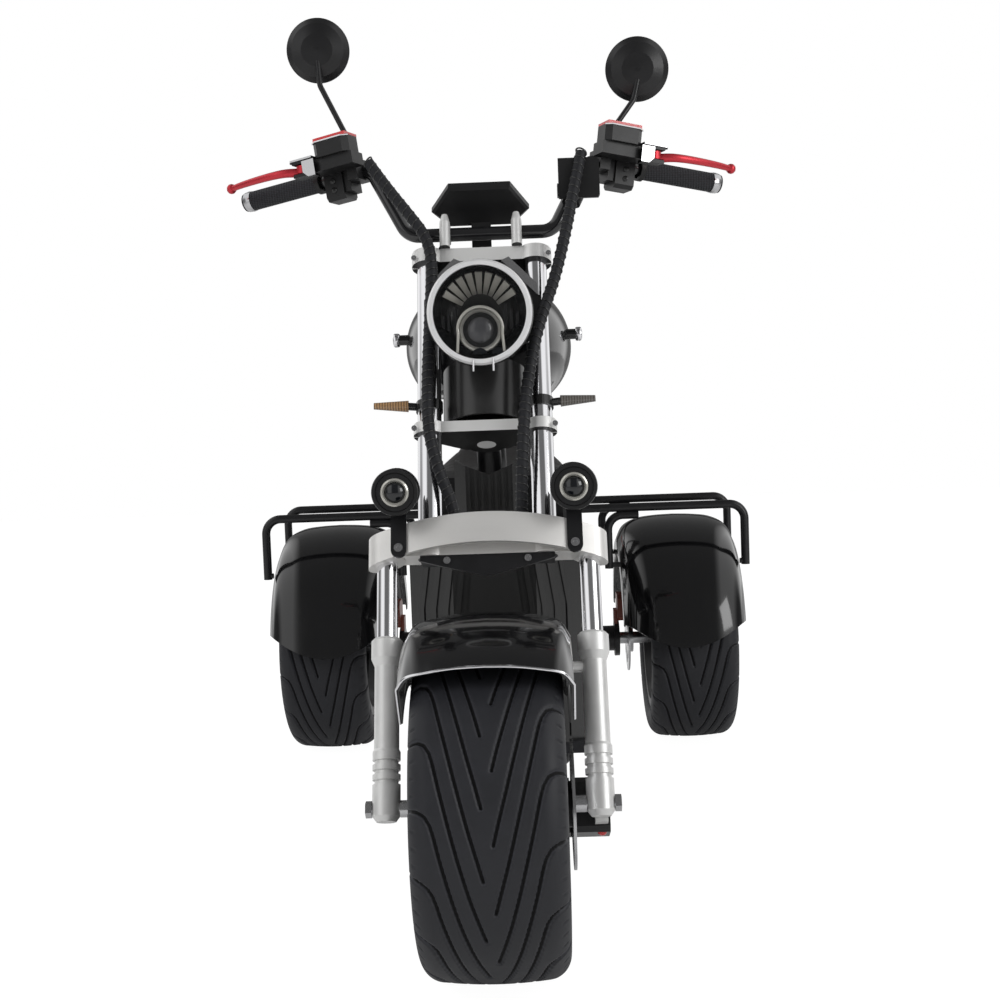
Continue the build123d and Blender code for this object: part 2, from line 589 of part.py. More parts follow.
DECK_END = DECK_REAR_Y - 55
deck = block((-DECK_HALF_W, DECK_HALF_W), (SHIELD_Y + 16, DECK_END), (DECK_Z, DECK_Z + DECK_T))
for y in range(824, int(DECK_END) - 10, 28):
    for xs in ((-130, -20), (20, 130)):
        deck += block(xs, (y, y + 8), (DECK_Z + DECK_T - 1, DECK_Z + DECK_T + 3))
save("floor_deck", deck - rod((0, 440, DECK_Z - 14), (0, 440, DECK_Z + 60), 20))

# Battery case, with ribbed recesses in its sides, and the shield and covers in front of it

CASE_SIDE = ((466, 640), (500, 676), (600, 684), (730, 640), (786, 566), (800, 300), (782, 225), (466, 225))
RECESS_SIDE = ((492, 618), (516, 646), (594, 654), (712, 614), (756, 552), (768, 306), (756, 262), (492, 262))
case = side_view(Polygon(*CASE_SIDE, align=None), -CASE_HALF_W, 2 * CASE_HALF_W)
case = chamfer(case.faces().filter_by(Axis.X).edges(), 10)
recess = fillet(Polygon(*RECESS_SIDE, align=None).vertices(), 12)
for side in SIDES:
    pocket = side_view(recess, side * CASE_HALF_W - 6, 12)
    case -= pocket
    for z in range(190, 640, 46):
        rib = Polygon((480, z), (780, z + 80), (780, z + 96), (480, z + 16), align=None)
        case += pocket & side_view(rib, side * (CASE_HALF_W - 4) - 3, 6)
save("battery_case", case)


def shield_line(proud):
    """The front edge of the shield's plan, moved forward."""
    return [(-145, SHIELD_Y + 66), (-145 - proud * 0.4, SHIELD_Y + 40 - proud), (-118, SHIELD_Y + 14 - proud),
            (-70, SHIELD_Y - proud), (70, SHIELD_Y - proud), (118, SHIELD_Y + 14 - proud),
            (145 + proud * 0.4, SHIELD_Y + 40 - proud), (145, SHIELD_Y + 66)]


shield = top_view(Polygon(*shield_line(0), *reversed(shield_line(-6)[1:-1]), align=None),
                  DECK_Z + DECK_T, SHIELD_TOP - DECK_Z - DECK_T)
skin = top_view(Polygon(*shield_line(RIB_PROUD), *reversed(shield_line(0)[1:-1]), align=None),
                DECK_Z + DECK_T, SHIELD_TOP - DECK_Z - DECK_T)
low, knee, high = DECK_Z + DECK_T + 10, 460, SHIELD_TOP - 8
panels = [Polygon((-30, high), (30, high), (44, knee), (44, low), (-44, low), (-44, knee), align=None)]
for rib in range(4):
    top, foot = 40 + 20 * rib, 58 + 21 * rib
    panel = Polygon((top, high), (top + 8, high), (foot + 9, knee), (foot + 9, low), (foot, low),
                    (foot, knee), align=None)
    panels += [panel, mirror(panel, about=Plane.YZ)]
for panel in panels:
    shield += skin & front_view(panel, SHIELD_Y - 20, 80)
save("front_shield", shield)

cover_line = [(-57, 420), (-57, 345), (-38, 322), (38, 322), (57, 345), (57, 420)]
inner_line = [(-50, 420), (-50, 348), (-35, 329), (35, 329), (50, 348), (50, 420)]
cover = top_view(Polygon(*cover_line, *reversed(inner_line), align=None), SHIELD_TOP, 104)
for rib in range(-3, 4):
    cover += block((rib * 11 - 2, rib * 11 + 2), (319, 325), (SHIELD_TOP + 6, SHIELD_TOP + 104))
notch = Polygon((-60, 712), (0, 688), (60, 712), (60, 760), (-60, 760), align=None)
cover -= front_view(notch, 260, 200)
NECK_S = (MID_CLAMP_S + MID_CLAMP_T + HEAD_GAP + 2, MID_CLAMP_S + MID_CLAMP_T + HEAD_GAP + 98)
NECK_R = 67.0
stem_line = Pos(0, STEM_SETBACK, NECK_S[0])
neck = stem_line * (Cylinder(NECK_R, NECK_S[1] - NECK_S[0], align=UP) - Cylinder(NECK_R - 4, 200, align=UP))
neck -= block((-90, 90), (STEM_SETBACK + 10, 200), (500, 800))
back_plate = block((-NECK_R, NECK_R), (STEM_SETBACK + 4, STEM_SETBACK + 10), NECK_S)
neck += back_plate & (stem_line * Cylinder(NECK_R, 200, align=UP))
neck -= Pos(0, STEM_SETBACK, 0) * Cylinder(HEAD_TUBE_R, 2000)
save("neck_covers", cover, fork(neck))

# Tank: section places along Y, half width, bottom, side height, shoulder height, top
tank_sections = (
    # y, half width, bottom, shoulder, top
    (400, 96, 830, 950, 1004),
    (500, 138, 818, 962, TANK_TOP),
    (600, TANK_HALF_W, TANK_BOTTOM, 960, TANK_TOP - 2),
    (730, 128, TANK_BOTTOM, 930, 992),
    (830, 84, TANK_BOTTOM, 890, 930),
)
rings = []
for y, half, bottom, shoulder, top in tank_sections:
    base = half * 0.72
    crest = half * 0.74
    middle = (bottom + shoulder) / 2 + 6
    outline = [
        Line((-base, bottom), (base, bottom)),
        ThreePointArc((base, bottom), (half, middle), (crest, shoulder + 22)),
        ThreePointArc((crest, shoulder + 22), (0, top), (-crest, shoulder + 22)),
        ThreePointArc((-crest, shoulder + 22), (-half, middle), (-base, bottom)),
    ]
    rings.append(Plane(origin=(0, y, 0), x_dir=(1, 0, 0), z_dir=(0, -1, 0)) * make_face(outline))
tank = loft(rings)
tank -= fork(block((-200, 200), (-200, STEM_SETBACK + 48), (400, 1200)))
tank -= block((-TUNNEL_HALF_W, TUNNEL_HALF_W), (380, 900), (700, 880))
for side in SIDES:
    tank += rod((side * (TANK_HALF_W - 24), 512, 918), (side * (TANK_HALF_W + 16), 512, 918), 9)
save("tank", tank)

# Seat and backrest cushions
seat_sections = (
    # y, half width, bottom, top
    (SEAT_FRONT_Y + 22, 70, 640),
    (SEAT_FRONT_Y + 120, 128, 652),
    (SEAT_FRONT_Y + 280, 165, 660),
    (SEAT_FRONT_Y + 400, 140, 690),
    (WHEELBASE + 20, 118, 705),
)
rings = []
for y, half, top in seat_sections:
    outline = Pos(0, (SEAT_Z + top) / 2) * RectangleRounded(2 * half, top - SEAT_Z + 9.4, 22)
    rings.append(Plane(origin=(0, y, 0), x_dir=(1, 0, 0), z_dir=(0, -1, 0)) * outline)
cushion = loft(rings)
cushion -= block((-400, 400), (700, 1700), (400, SEAT_Z - 4.7))
low, high = Vector(0, *BACK_LOW), Vector(0, *BACK_HIGH)
rise = (high - low).normalized()
facing = Vector(0, -rise.Z, rise.Y)
back = Plane(origin=high - rise * 90 + facing * (BACK_TUBE_R + 0.3), x_dir=(1, 0, 0), z_dir=facing)
back *= extrude(RectangleRounded(260, 210, 40), 46)
save("seat_cushion", cushion)
save("backrest_cushion", back)

# Rear fenders: an arched section round the axle, with a curved lower lip
FENDER_MID = sum(FENDER_X) / 2
half_w = (FENDER_X[1] - FENDER_X[0]) / 2
section = make_face(arch_section(half_w, TYRE_R + FENDER_GAP, 205, FENDER_T, 46))
ring = revolve(section, axis=Axis.X, revolution_arc=200)
ring = Rot(-10, 0, 0) * ring
lip_sides = Polyline((half_w, LIP_Z[1]), (200, LIP_Z[1]), (200, 900), (-200, 900), (-200, LIP_Z[1]),
                     (-half_w, LIP_Z[1]))
lip = make_face([ThreePointArc((-half_w, LIP_Z[1]), (0, LIP_Z[0]), (half_w, LIP_Z[1])), *lip_sides.edges()])
keep = front_view(lip, -600, 1200)
rear_fender = Pos(FENDER_MID, WHEELBASE, TYRE_R) * ring
rear_fender = rear_fender & (Pos(FENDER_MID, WHEELBASE, 0) * keep)
save("rear_fenders", both_sides(rear_fender))

racks = []
for dy in RACK_Y_FROM_AXLE:
    y = WHEELBASE + dy
    inner_x, outer_x = RACK_X
    hoop = bent_bar([(98, y, RACK_Z), (outer_x, y, RACK_Z), (outer_x, y, RACK_LEG_Z)], [34], RACK_R)
    drop = RACK_Z - 2 * RACK_R + 2
    hoop += bent_bar([(inner_x + 70, y, drop), (inner_x, y, drop), (inner_x, y, RACK_LEG_Z)], [34], RACK_R)
    for leg_x, fender_x in zip(RACK_X, FENDER_X):
        hoop += rod((leg_x, y, RACK_LEG_Z + 8), (fender_x, y, RACK_LEG_Z + 8), 6)
    racks.append(hoop - seat_frame)
save("fender_racks", [one for hoop in racks for one in both_sides(hoop)])

# Rear axle with its motor, swing arms, shocks and brakes
axle_c = Pos(0, WHEELBASE, TYRE_R)
rear_axle = rod((-MOTOR_HALF, 0, 0), (MOTOR_HALF, 0, 0), MOTOR_R)
for rib in range(-3, 4):
    groove = rod((rib * 20 - 4, 0, 0), (rib * 20 + 4, 0, 0), MOTOR_R + 2)
    rear_axle -= groove - rod((-MOTOR_HALF, 0, 0), (MOTOR_HALF, 0, 0), MOTOR_R - 7)
for side in SIDES:
    rear_axle += rod((side * MOTOR_HALF, 0, 0), (side * AXLE_TUBE_END, 0, 0), AXLE_TUBE_R)
    rear_axle += rod((side * (AXLE_TUBE_END - 12), 0, 0), (side * AXLE_TUBE_END, 0, 0), 42)
    bore = ((side * (AXLE_TUBE_END - 74), 0, 0), (side * (AXLE_TUBE_END + 5), 0, 0))
    rear_axle -= rod(*bore, HALF_SHAFT_R + RUNNING_GAP)
rear_axle = axle_c * rear_axle
save("rear_axle", rear_axle)

PIVOT = (DECK_REAR_Y + 14, 300.0)
arm_x = 150.0
arms = []
for side in SIDES:
    arm = rod((side * (RAIL_X + 14), *PIVOT), (side * arm_x, *PIVOT), 16)
    arm += rod((side * arm_x, *PIVOT), (side * arm_x, WHEELBASE, TYRE_R), 16)
    arm += axle_c * rod((side * (arm_x - 20), 0, 0), (side * (arm_x + 20), 0, 0), AXLE_TUBE_R + 8)
    arms.append(arm - rear_axle - main_frame)
save("swing_arms", arms)

SPRING_R = 19.0
shocks = []
for side in SIDES:
    low, high = Vector(side * 150, WHEELBASE, TYRE_R + 38), Vector(side * 112, WHEELBASE - 90, SEAT_Z - 25)
    span = (high - low).normalized()
    spring = Helix(pitch=21, height=147, radius=SPRING_R)
    spring = sweep(Plane(origin=spring @ 0, z_dir=spring % 0) * Circle(4.5), path=spring, is_frenet=True)
    shock = rod(low, high, 9) + rod(low + span * 36, low + span * 110, 13)
    for seat in (36, 193):
        shock += rod(low + span * (seat - 5), low + span * (seat + 5), SPRING_R + 6)
    shock += Plane(origin=low + span * 41, z_dir=span) * spring
    shocks.append(shock - arms[0] - arms[1] - seat_frame)
save("rear_shocks", shocks)

calliper = block((AXLE_TUBE_END - 4, REAR_DISC_X + 18), (-38, 38), (46, 108))
calliper = chamfer(calliper.edges().filter_by(Axis.X), 10)
calliper -= block((REAR_DISC_X - DISC_T - 3, REAR_DISC_X + 3), (-60, 60), (0, REAR_DISC_R + 4))
calliper += block((AXLE_TUBE_END - 12, AXLE_TUBE_END - 4), (-20, 20), (30, 70))
calliper = axle_c * calliper - rear_axle
save("rear_callipers", both_sides(calliper))

TAIL_Y = LENGTH - TYRE_R
lamp_z = SEAT_Z - 25
signal_z = lamp_z - 30
tail = block((-60, 60), (TAIL_RAIL_Y + 12.3, TAIL_Y - 8), (lamp_z - 22, lamp_z + 22))
signals = []
for side in SIDES:
    signal = rod((side * 70, TAIL_Y - 40, signal_z), (side * 110, TAIL_Y - 40, signal_z), 6)
    signal += Plane(origin=(side * 108, TAIL_Y - 40, signal_z), z_dir=(side, 0, 0)) * Cone(9, 5, 54, align=UP)
    signals.append(signal)
save("rear_lamps", tail, signals)
plate = block((-75, 75), (TAIL_Y - 6, TAIL_Y), (lamp_z - 150, lamp_z - 40))
for side in SIDES:
    plate -= rod((side * 60, TAIL_Y - 10, lamp_z - 95), (side * 60, TAIL_Y + 10, lamp_z - 95), 3)
plate += block((-70, 70), (TAIL_RAIL_Y - 6, TAIL_Y - 2), (lamp_z - 44, lamp_z - 22.3))
plate += block((-20, 20), (TAIL_RAIL_Y - 6, TAIL_RAIL_Y + 6), (lamp_z - 24, lamp_z)) - seat_frame
save("plate_bracket", plate - signals)
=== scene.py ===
"""Looks of the electric tricycle: its finishes, treads, cushions, cable looms, lamps, screws and studio."""
import math

import bmesh
import bpy
import numpy as np
from mathutils import Matrix, Vector


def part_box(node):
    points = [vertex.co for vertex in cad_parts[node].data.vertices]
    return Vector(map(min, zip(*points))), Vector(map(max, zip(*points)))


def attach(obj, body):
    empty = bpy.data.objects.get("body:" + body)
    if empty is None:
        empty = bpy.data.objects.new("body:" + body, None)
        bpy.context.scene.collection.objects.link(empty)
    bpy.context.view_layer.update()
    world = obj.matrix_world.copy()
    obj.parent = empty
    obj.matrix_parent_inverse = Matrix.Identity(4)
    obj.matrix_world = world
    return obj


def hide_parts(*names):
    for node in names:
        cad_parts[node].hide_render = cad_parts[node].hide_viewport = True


bl_info = {
    "name": "Electric tricycle looks",
    "version": (1, 0, 0),
    "blender": (4, 5, 0),
    "location": "3D View > Sidebar > Tricycle",
    "description": "Finishes and small parts of an electric tricycle, built on its CAD frame",
    "category": "Object",
}

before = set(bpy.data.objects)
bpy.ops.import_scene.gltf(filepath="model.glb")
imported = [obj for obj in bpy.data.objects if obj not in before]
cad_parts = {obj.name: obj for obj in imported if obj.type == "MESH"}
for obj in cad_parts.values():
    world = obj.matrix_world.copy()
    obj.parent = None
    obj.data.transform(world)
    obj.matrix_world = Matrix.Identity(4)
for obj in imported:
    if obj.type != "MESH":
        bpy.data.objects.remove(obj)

MM = 0.001
AXLE_LINE = -743.5
TYRE_R = 236.5
WHEELBASE = 1400
RAKE = math.radians(24)
SIDES = (-1, 1)
REARWARD = Vector((0, 1, 0))
UPWARD = Vector((0, 0, 1))


def place(x, y, z):
    """A point given in millimetres from the front axle's line and the ground."""
    return Vector((x, y + AXLE_LINE, z)) * MM


def fork(x, y, s):
    """A point given along the fork line: across, rearward, and up the fork from the axle."""
    return place(x, y * math.cos(RAKE) + s * math.sin(RAKE),
                 TYRE_R - y * math.sin(RAKE) + s * math.cos(RAKE))


FORK_UP = Vector((0, math.sin(RAKE), math.cos(RAKE)))
FORK_FRONT = Vector((0, -math.cos(RAKE), math.sin(RAKE)))


# Materials

# the black of the turn signals' stalks, and the painted shade under the fork clamps
BLACK_AND_SHADE = (0.006, 0.006, 0.006)


class Value:
    """A number in a node tree. Python's operators on it add Math nodes."""

    def __init__(self, tree, socket):
        self.tree, self.socket = tree, socket

    def math(self, operation, first, second=None, clamp=False):
        node = self.tree.nodes.new("ShaderNodeMath")
        node.operation, node.use_clamp = operation, clamp
        for slot, value in zip(node.inputs, (first, second)):
            if isinstance(value, Value):
                self.tree.links.new(value.socket, slot)
            elif value is not None:
                slot.default_value = value
        return Value(self.tree, node.outputs[0])

    def __add__(self, other):
        return self.math("ADD", self, other)

    def __sub__(self, other):
        return self.math("SUBTRACT", self, other)

    def __rsub__(self, other):
        return self.math("SUBTRACT", other, self)

    def __mul__(self, other):
        return self.math("MULTIPLY", self, other)

    def __gt__(self, other):
        return self.math("GREATER_THAN", self, other)

    def __abs__(self):
        return self.math("ABSOLUTE", self)

    __radd__, __rmul__ = __add__, __mul__

    def sine(self):
        return self.math("SINE", self)

    def ramp(self, low, high):
        """0 below low, 1 above high, a straight line between."""
        return self.math("MULTIPLY", self - low, 1 / (high - low), clamp=True)


class Finish:
    """A material under construction, with its surface shader."""

    def __init__(self, name, colour, roughness, metallic=0.0, coat=0.0, **fixed):
        self.material = bpy.data.materials.new(name)
        self.material.use_nodes = True
        self.tree = self.material.node_tree
        self.shader = self.tree.nodes["Principled BSDF"]
        self.base = tuple(colour[:3])
        self.shader.inputs["Base Color"].default_value = (*self.base, 1)
        self.shader.inputs["Roughness"].default_value = roughness
        self.shader.inputs["Metallic"].default_value = metallic
        self.shader.inputs["Coat Weight"].default_value = coat
        for socket, value in fixed.items():
            self.shader.inputs[socket.replace("_", " ")].default_value = value
        self.relief = None

    def node(self, kind, settings=(), **inputs):
        """Any node by its type, its settings first, then its sockets' values or links."""
        made = self.tree.nodes.new("ShaderNode" + kind)
        for key, value in dict(settings).items():
            setattr(made, key, value)
        for key, value in inputs.items():
            slot = made.inputs[key.replace("_", " ")]
            if isinstance(value, Value):
                self.tree.links.new(value.socket, slot)
            elif isinstance(value, bpy.types.NodeSocket):
                self.tree.links.new(value, slot)
            else:
                slot.default_value = value
        return made

    def position(self, stretch=(1, 1, 1)):
        """The point's place on the object, scaled along each axis."""
        spot = self.node("TexCoord").outputs["Object"]
        return self.node("Mapping", Vector=spot, Scale=stretch).outputs["Vector"]

    def axes(self):
        """The point's x, y and z as numbers, in metres."""
        parts = self.node("SeparateXYZ", Vector=self.node("TexCoord").outputs["Object"])
        return [Value(self.tree, out) for out in parts.outputs]

    def noise(self, scale, detail=3, stretch=(1, 1, 1), roughness=0.5):
        """Cloudy noise, so many blobs to the metre."""
        made = self.node("TexNoise", Vector=self.position(stretch), Scale=scale, Detail=detail,
                         Roughness=roughness)
        return Value(self.tree, made.outputs[0])

    def cells(self, scale):
        """Pebbles, so many to the metre: 0 in the middle of each."""
        made = self.node("TexVoronoi", Vector=self.position(), Scale=scale)
        return Value(self.tree, made.outputs["Distance"])

    def attribute(self, name):
        """A number that the mesh carries at its points."""
        return Value(self.tree, self.node("Attribute", {"attribute_name": name}).outputs["Fac"])

    def mix(self, factor, first, second):
        """A colour between two colours, each a tuple or a socket."""
        made = self.tree.nodes.new("ShaderNodeMix")
        made.data_type = "RGBA"
        self.tree.links.new(factor.socket, made.inputs["Factor"])
        for slot, colour in ((made.inputs[6], first), (made.inputs[7], second)):
            if isinstance(colour, tuple):
                slot.default_value = (*colour[:3], 1)
            else:
                self.tree.links.new(colour, slot)
        return made.outputs[2]

    def feed(self, socket, value):
        """Link a number or a colour to a socket of the surface shader."""
        source = value.socket if isinstance(value, Value) else value
        self.tree.links.new(source, self.shader.inputs[socket])

    def bump(self, height, distance, strength=1.0):
        """Surface relief from a height between 0 and 1, over a depth in metres."""
        made = self.node("Bump", Height=height, Distance=distance, Strength=strength)
        if self.relief:
            self.tree.links.new(self.relief, made.inputs["Normal"])
        self.relief = made.outputs["Normal"]
        self.feed("Normal", self.relief)

    def shade(self, amount, factor):
        """Vary the base colour up and down by a share of itself."""
        low = tuple(c * (1 - amount) for c in self.base)
        high = tuple(min(1, c * (1 + amount)) for c in self.base)
        self.feed("Base Color", self.mix(factor, low, high))


def shade_of(colour, factor):
    """A colour made darker or lighter."""
    return tuple(c * factor for c in colour)


def paint(name, colour, roughness=0.12):
    """Sprayed gloss paint: a clear coat with faint orange peel, hazier in patches."""
    made = Finish(name, colour, roughness, coat=0.6, Coat_Roughness=0.04, Specular_IOR_Level=0.4)
    made.feed("Roughness", made.noise(26, 4) * 0.1 + (roughness - 0.04))
    made.shade(0.25, made.noise(9))
    made.bump(made.noise(420, 1), 0.00006, 0.4)
    return made.material


def powder(name, colour, roughness=0.42, grain=0.00010):
    """Powder coat or moulded plastic: a fine pebble with soft wear."""
    made = Finish(name, colour, roughness, Specular_IOR_Level=0.4)
    made.feed("Roughness", made.noise(18, 4) * 0.2 + (roughness - 0.1))
    made.shade(0.35, made.noise(30, 4))
    made.bump(made.cells(700), grain, 0.5)
    return made.material


def casting(name, colour, roughness=0.4, metallic=0.4, shaded_below=False):
    """Silver painted cast alloy, a little uneven. Its underside may be darkened to black as painted shade."""
    made = Finish(name, colour, roughness, metallic=metallic)
    cloud = made.noise(22, 5)
    made.feed("Roughness", cloud * 0.25 + (roughness - 0.12))
    made.shade(0.12, cloud)
    if shaded_below:
        # painted shade: faces that point down turn black and lose their metal
        facing = made.node("SeparateXYZ", Vector=made.node("TexCoord").outputs["Normal"]).outputs["Z"]
        below = 1 - Value(made.tree, facing).ramp(-0.75, -0.6)
        made.feed("Base Color", made.mix(below, made.base, BLACK_AND_SHADE))
        made.feed("Metallic", metallic - below * metallic)
    made.bump(made.noise(520, 3), 0.00012, 0.6)
    return made.material


def brushed(name, colour, along, roughness=0.27, metallic=1.0):
    """Alloy brushed along one axis."""
    made = Finish(name, colour, roughness, metallic=metallic)
    stretch = tuple(0.03 if axis == along else 1 for axis in "XYZ")
    lines = made.noise(900, 4, stretch, 0.7)
    made.feed("Roughness", lines * 0.22 + (roughness - 0.08))
    made.shade(0.16, made.noise(14, 4, stretch))
    made.bump(lines, 0.00006, 0.5)
    return made.material


def plated(name, colour, roughness=0.06):
    """Chrome or zinc plate with slight waves and water marks."""
    made = Finish(name, colour, roughness, metallic=1.0)
    made.feed("Roughness", made.noise(35, 5) * 0.08 + (roughness - 0.03))
    made.shade(0.08, made.noise(12))
    made.bump(made.noise(60, 2), 0.00012, 0.25)
    return made.material


def rubber(name, colour):
    """Soft matt rubber, or thread."""
    made = Finish(name, colour, 0.62, Specular_IOR_Level=0.35)
    made.feed("Roughness", made.noise(40, 4) * 0.2 + 0.52)
    made.shade(0.3, made.noise(60, 5))
    made.bump(made.noise(900, 2), 0.00012, 0.5)
    return made.material


def tread_rubber(name, colour):
    """Tyre rubber, with painted shade that makes the grooves black and a painted highlight that makes their
    edges paler.
    """
    made = Finish(name, colour, 0.6, Specular_IOR_Level=0.35)
    away = made.attribute("groove")
    # painted shade: the grooves go near black
    groove_shade = 1 - away.ramp(1.6, 2.4)
    # painted highlight: a paler strip along each groove's edge
    groove_edge_highlight = away.ramp(2.2, 2.8) * (1 - away.ramp(3.0, 4.4))
    cloud = made.noise(45, 5)
    tone = made.mix(cloud, shade_of(colour, 0.75), shade_of(colour, 1.3))
    tone = made.mix(groove_edge_highlight * 0.55, tone, shade_of(colour, 2.6))
    made.feed("Base Color", made.mix(groove_shade, tone, (0.004, 0.004, 0.0045)))
    made.feed("Roughness", cloud * 0.2 + 0.46 + groove_shade * 0.25)
    made.bump(made.noise(800, 2), 0.00012, 0.5)
    return made.material


def grip_rubber(name, colour):
    """Grip rubber moulded with a slanted cross hatch."""
    made = Finish(name, colour, 0.6, Specular_IOR_Level=0.35)
    x, _, z = made.axes()
    slant = abs(x) * 0.6
    hatch = ((slant + z) * 1150).sine() * ((slant - z) * 1150).sine()
    made.bump(hatch.ramp(-0.5, 0.5), 0.0006, 0.8)
    # painted shade and light: the colour darkens in the hatch's hollows and lightens on its ridges
    made.shade(0.5, hatch.ramp(-0.3, 0.5))
    return made.material


def leather(name, colour):
    """Seat leather: pebbled grain, creases and a worn sheen."""
    made = Finish(name, colour, 0.48, Specular_IOR_Level=0.45)
    grain = made.cells(330)
    crease = made.noise(38, 5, (1, 0.6, 1))
    made.feed("Roughness", crease * 0.25 + 0.33)
    made.shade(0.4, made.noise(20, 4))
    made.bump(grain, 0.00035, 0.7)
    made.bump(crease, 0.0009, 0.35)
    return made.material


def lamp_plastic(name, colour):
    """A coloured lens with fine prisms behind a clear face."""
    made = Finish(name, colour, 0.12, coat=0.5, Specular_IOR_Level=0.5)
    x, _, z = made.axes()
    prisms = ((z + abs(x)) * 2100).sine().ramp(-1, 1)
    made.shade(0.4, prisms)
    made.bump(prisms, 0.0003, 0.5)
    return made.material


def signal_plastic(name, amber, smoked):
    """Turn signals on black stalks: a smoked lens on one side, an amber one on the other."""
    made = Finish(name, amber, 0.14, coat=0.5)
    x = made.axes()[0]
    lens = made.mix(x > 0, made.base, smoked)
    prisms = (x * 1500).sine().ramp(-0.6, 0.6)
    lens = made.mix(prisms * 0.6, lens, (0.03, 0.02, 0.012))
    stalk = 1 - abs(x).ramp(0.1175, 0.1185)
    made.feed("Base Color", made.mix(stalk, lens, BLACK_AND_SHADE))
    made.bump(prisms, 0.0003, 0.5)
    return made.material


def clear_glass(name, tint):
    """A clear moulded lens, thin enough to see through."""
    made = Finish(name, tint, 0.03, coat=0.3)
    made.feed("Alpha", made.noise(14, 2) * 0.03 + 0.10)
    return made.material


class TricycleColours(bpy.types.PropertyGroup):
    """Colours of the tricycle's finishes."""

    paint: bpy.props.FloatVectorProperty(
        name="Body paint", description="Gloss paint of the tank and fenders", subtype="COLOR",
        default=(0.0045, 0.0045, 0.005), min=0, max=1)
    coat: bpy.props.FloatVectorProperty(
        name="Frame coat", description="Powder coat of the frame, racks and handlebar", subtype="COLOR",
        default=(0.010, 0.010, 0.011), min=0, max=1)
    plastic: bpy.props.FloatVectorProperty(
        name="Plastic", description="Moulded housings and mirrors", subtype="COLOR",
        default=(0.007, 0.007, 0.0075), min=0, max=1)
    tyre: bpy.props.FloatVectorProperty(
        name="Tyre rubber", description="Rubber of the three tyres", subtype="COLOR",
        default=(0.017, 0.0175, 0.021), min=0, max=1)
    silver: bpy.props.FloatVectorProperty(
        name="Cast silver", description="Fork legs, clamps and risers", subtype="COLOR",
        default=(0.76, 0.76, 0.75), min=0, max=1)
    lever: bpy.props.FloatVectorProperty(
        name="Lever red", description="Anodised brake levers and caps", subtype="COLOR",
        default=(0.60, 0.045, 0.060), min=0, max=1)
    seat: bpy.props.FloatVectorProperty(
        name="Seat leather", description="Seat and backrest covers", subtype="COLOR",
        default=(0.018, 0.017, 0.017), min=0, max=1)
    signal: bpy.props.FloatVectorProperty(
        name="Turn signal", description="Amber lenses of the turn signals", subtype="COLOR",
        default=(0.42, 0.25, 0.12), min=0, max=1)


class TricycleSizes(bpy.types.PropertyGroup):
    """Sizes of the small parts that the looks add."""

    groove_depth: bpy.props.FloatProperty(
        name="Groove depth", description="Depth of the tyre's grooves", subtype="DISTANCE", unit="LENGTH",
        default=0.005, min=0.001, max=0.009)
    groove_width: bpy.props.FloatProperty(
        name="Groove width", description="Width of the tyre's grooves", subtype="DISTANCE", unit="LENGTH",
        default=0.0042, min=0.002, max=0.010)
    repeats: bpy.props.IntProperty(
        name="Tread repeats", description="Groove pairs round each tyre", default=16, min=8, max=30)
    loom_radius: bpy.props.FloatProperty(
        name="Loom radius", description="Radius of each cable loom", subtype="DISTANCE", unit="LENGTH",
        default=0.009, min=0.004, max=0.015)
    wrap_pitch: bpy.props.FloatProperty(
        name="Wrap pitch", description="Distance between the turns of the spiral wrap", subtype="DISTANCE",
        unit="LENGTH", default=0.0125, min=0.006, max=0.03)
    puff: bpy.props.FloatProperty(
        name="Cushion swell", description="How far the covers may swell", subtype="DISTANCE", unit="LENGTH",
        default=0.010, min=0.0, max=0.03)


def finishes():
    """Every finish by name, made once."""
    if "body_paint" not in bpy.data.materials:
        c = bpy.context.scene.tricycle_colours
        paint("body_paint", c.paint)
        powder("frame_coat", c.coat, 0.33)
        paint("bar_paint", c.coat, 0.16)
        powder("moulded_plastic", c.plastic)
        powder("mirror_plastic", shade_of(c.plastic, 1.5), 0.36, 0.00005)
        paint("gloss_plastic", shade_of(c.plastic, 0.6), 0.18)
        tread_rubber("tyre_rubber", c.tyre)
        rubber("soft_rubber", shade_of(c.tyre, 0.7))
        grip_rubber("grip_rubber", shade_of(c.tyre, 1.1))
        casting("cast_silver", c.silver)
        brushed("brushed_band", (0.80, 0.79, 0.77), "X", 0.42, 0.7)
        brushed("satin_ring", (0.86, 0.86, 0.87), "Z", 0.42, 0.5)
        plated("chrome", (0.80, 0.80, 0.82))
        plated("zinc_plate", (0.55, 0.55, 0.56), 0.24)
        plated("mirror_glass", (0.9, 0.9, 0.92), 0.03)
        brushed("anodised_red", c.lever, "X", 0.36, 0.7)
        powder("brake_brown", (0.16, 0.035, 0.02), 0.4)
        leather("seat_leather", c.seat)
        # the clamps' silver, with painted shade on the underside
        casting("clamp_silver", c.silver, shaded_below=True)
        signal_plastic("amber_lens", c.signal, (0.16, 0.15, 0.14))
        lamp_plastic("red_lens", (0.42, 0.012, 0.014))
        lamp_plastic("red_cap", (0.6, 0.01, 0.012))
        clear_glass("clear_lens", (0.02, 0.021, 0.022))
        rubber("stitch_thread", (0.05, 0.05, 0.052))
        paint("screen_glass", (0.004, 0.005, 0.007), 0.05)
        casting("reflector", (0.50, 0.49, 0.45), 0.22, 0.5)
        paint("projector_lens", (0.07, 0.07, 0.075), 0.06)
        plated("brass", (0.45, 0.30, 0.12), 0.25)
    return bpy.data.materials


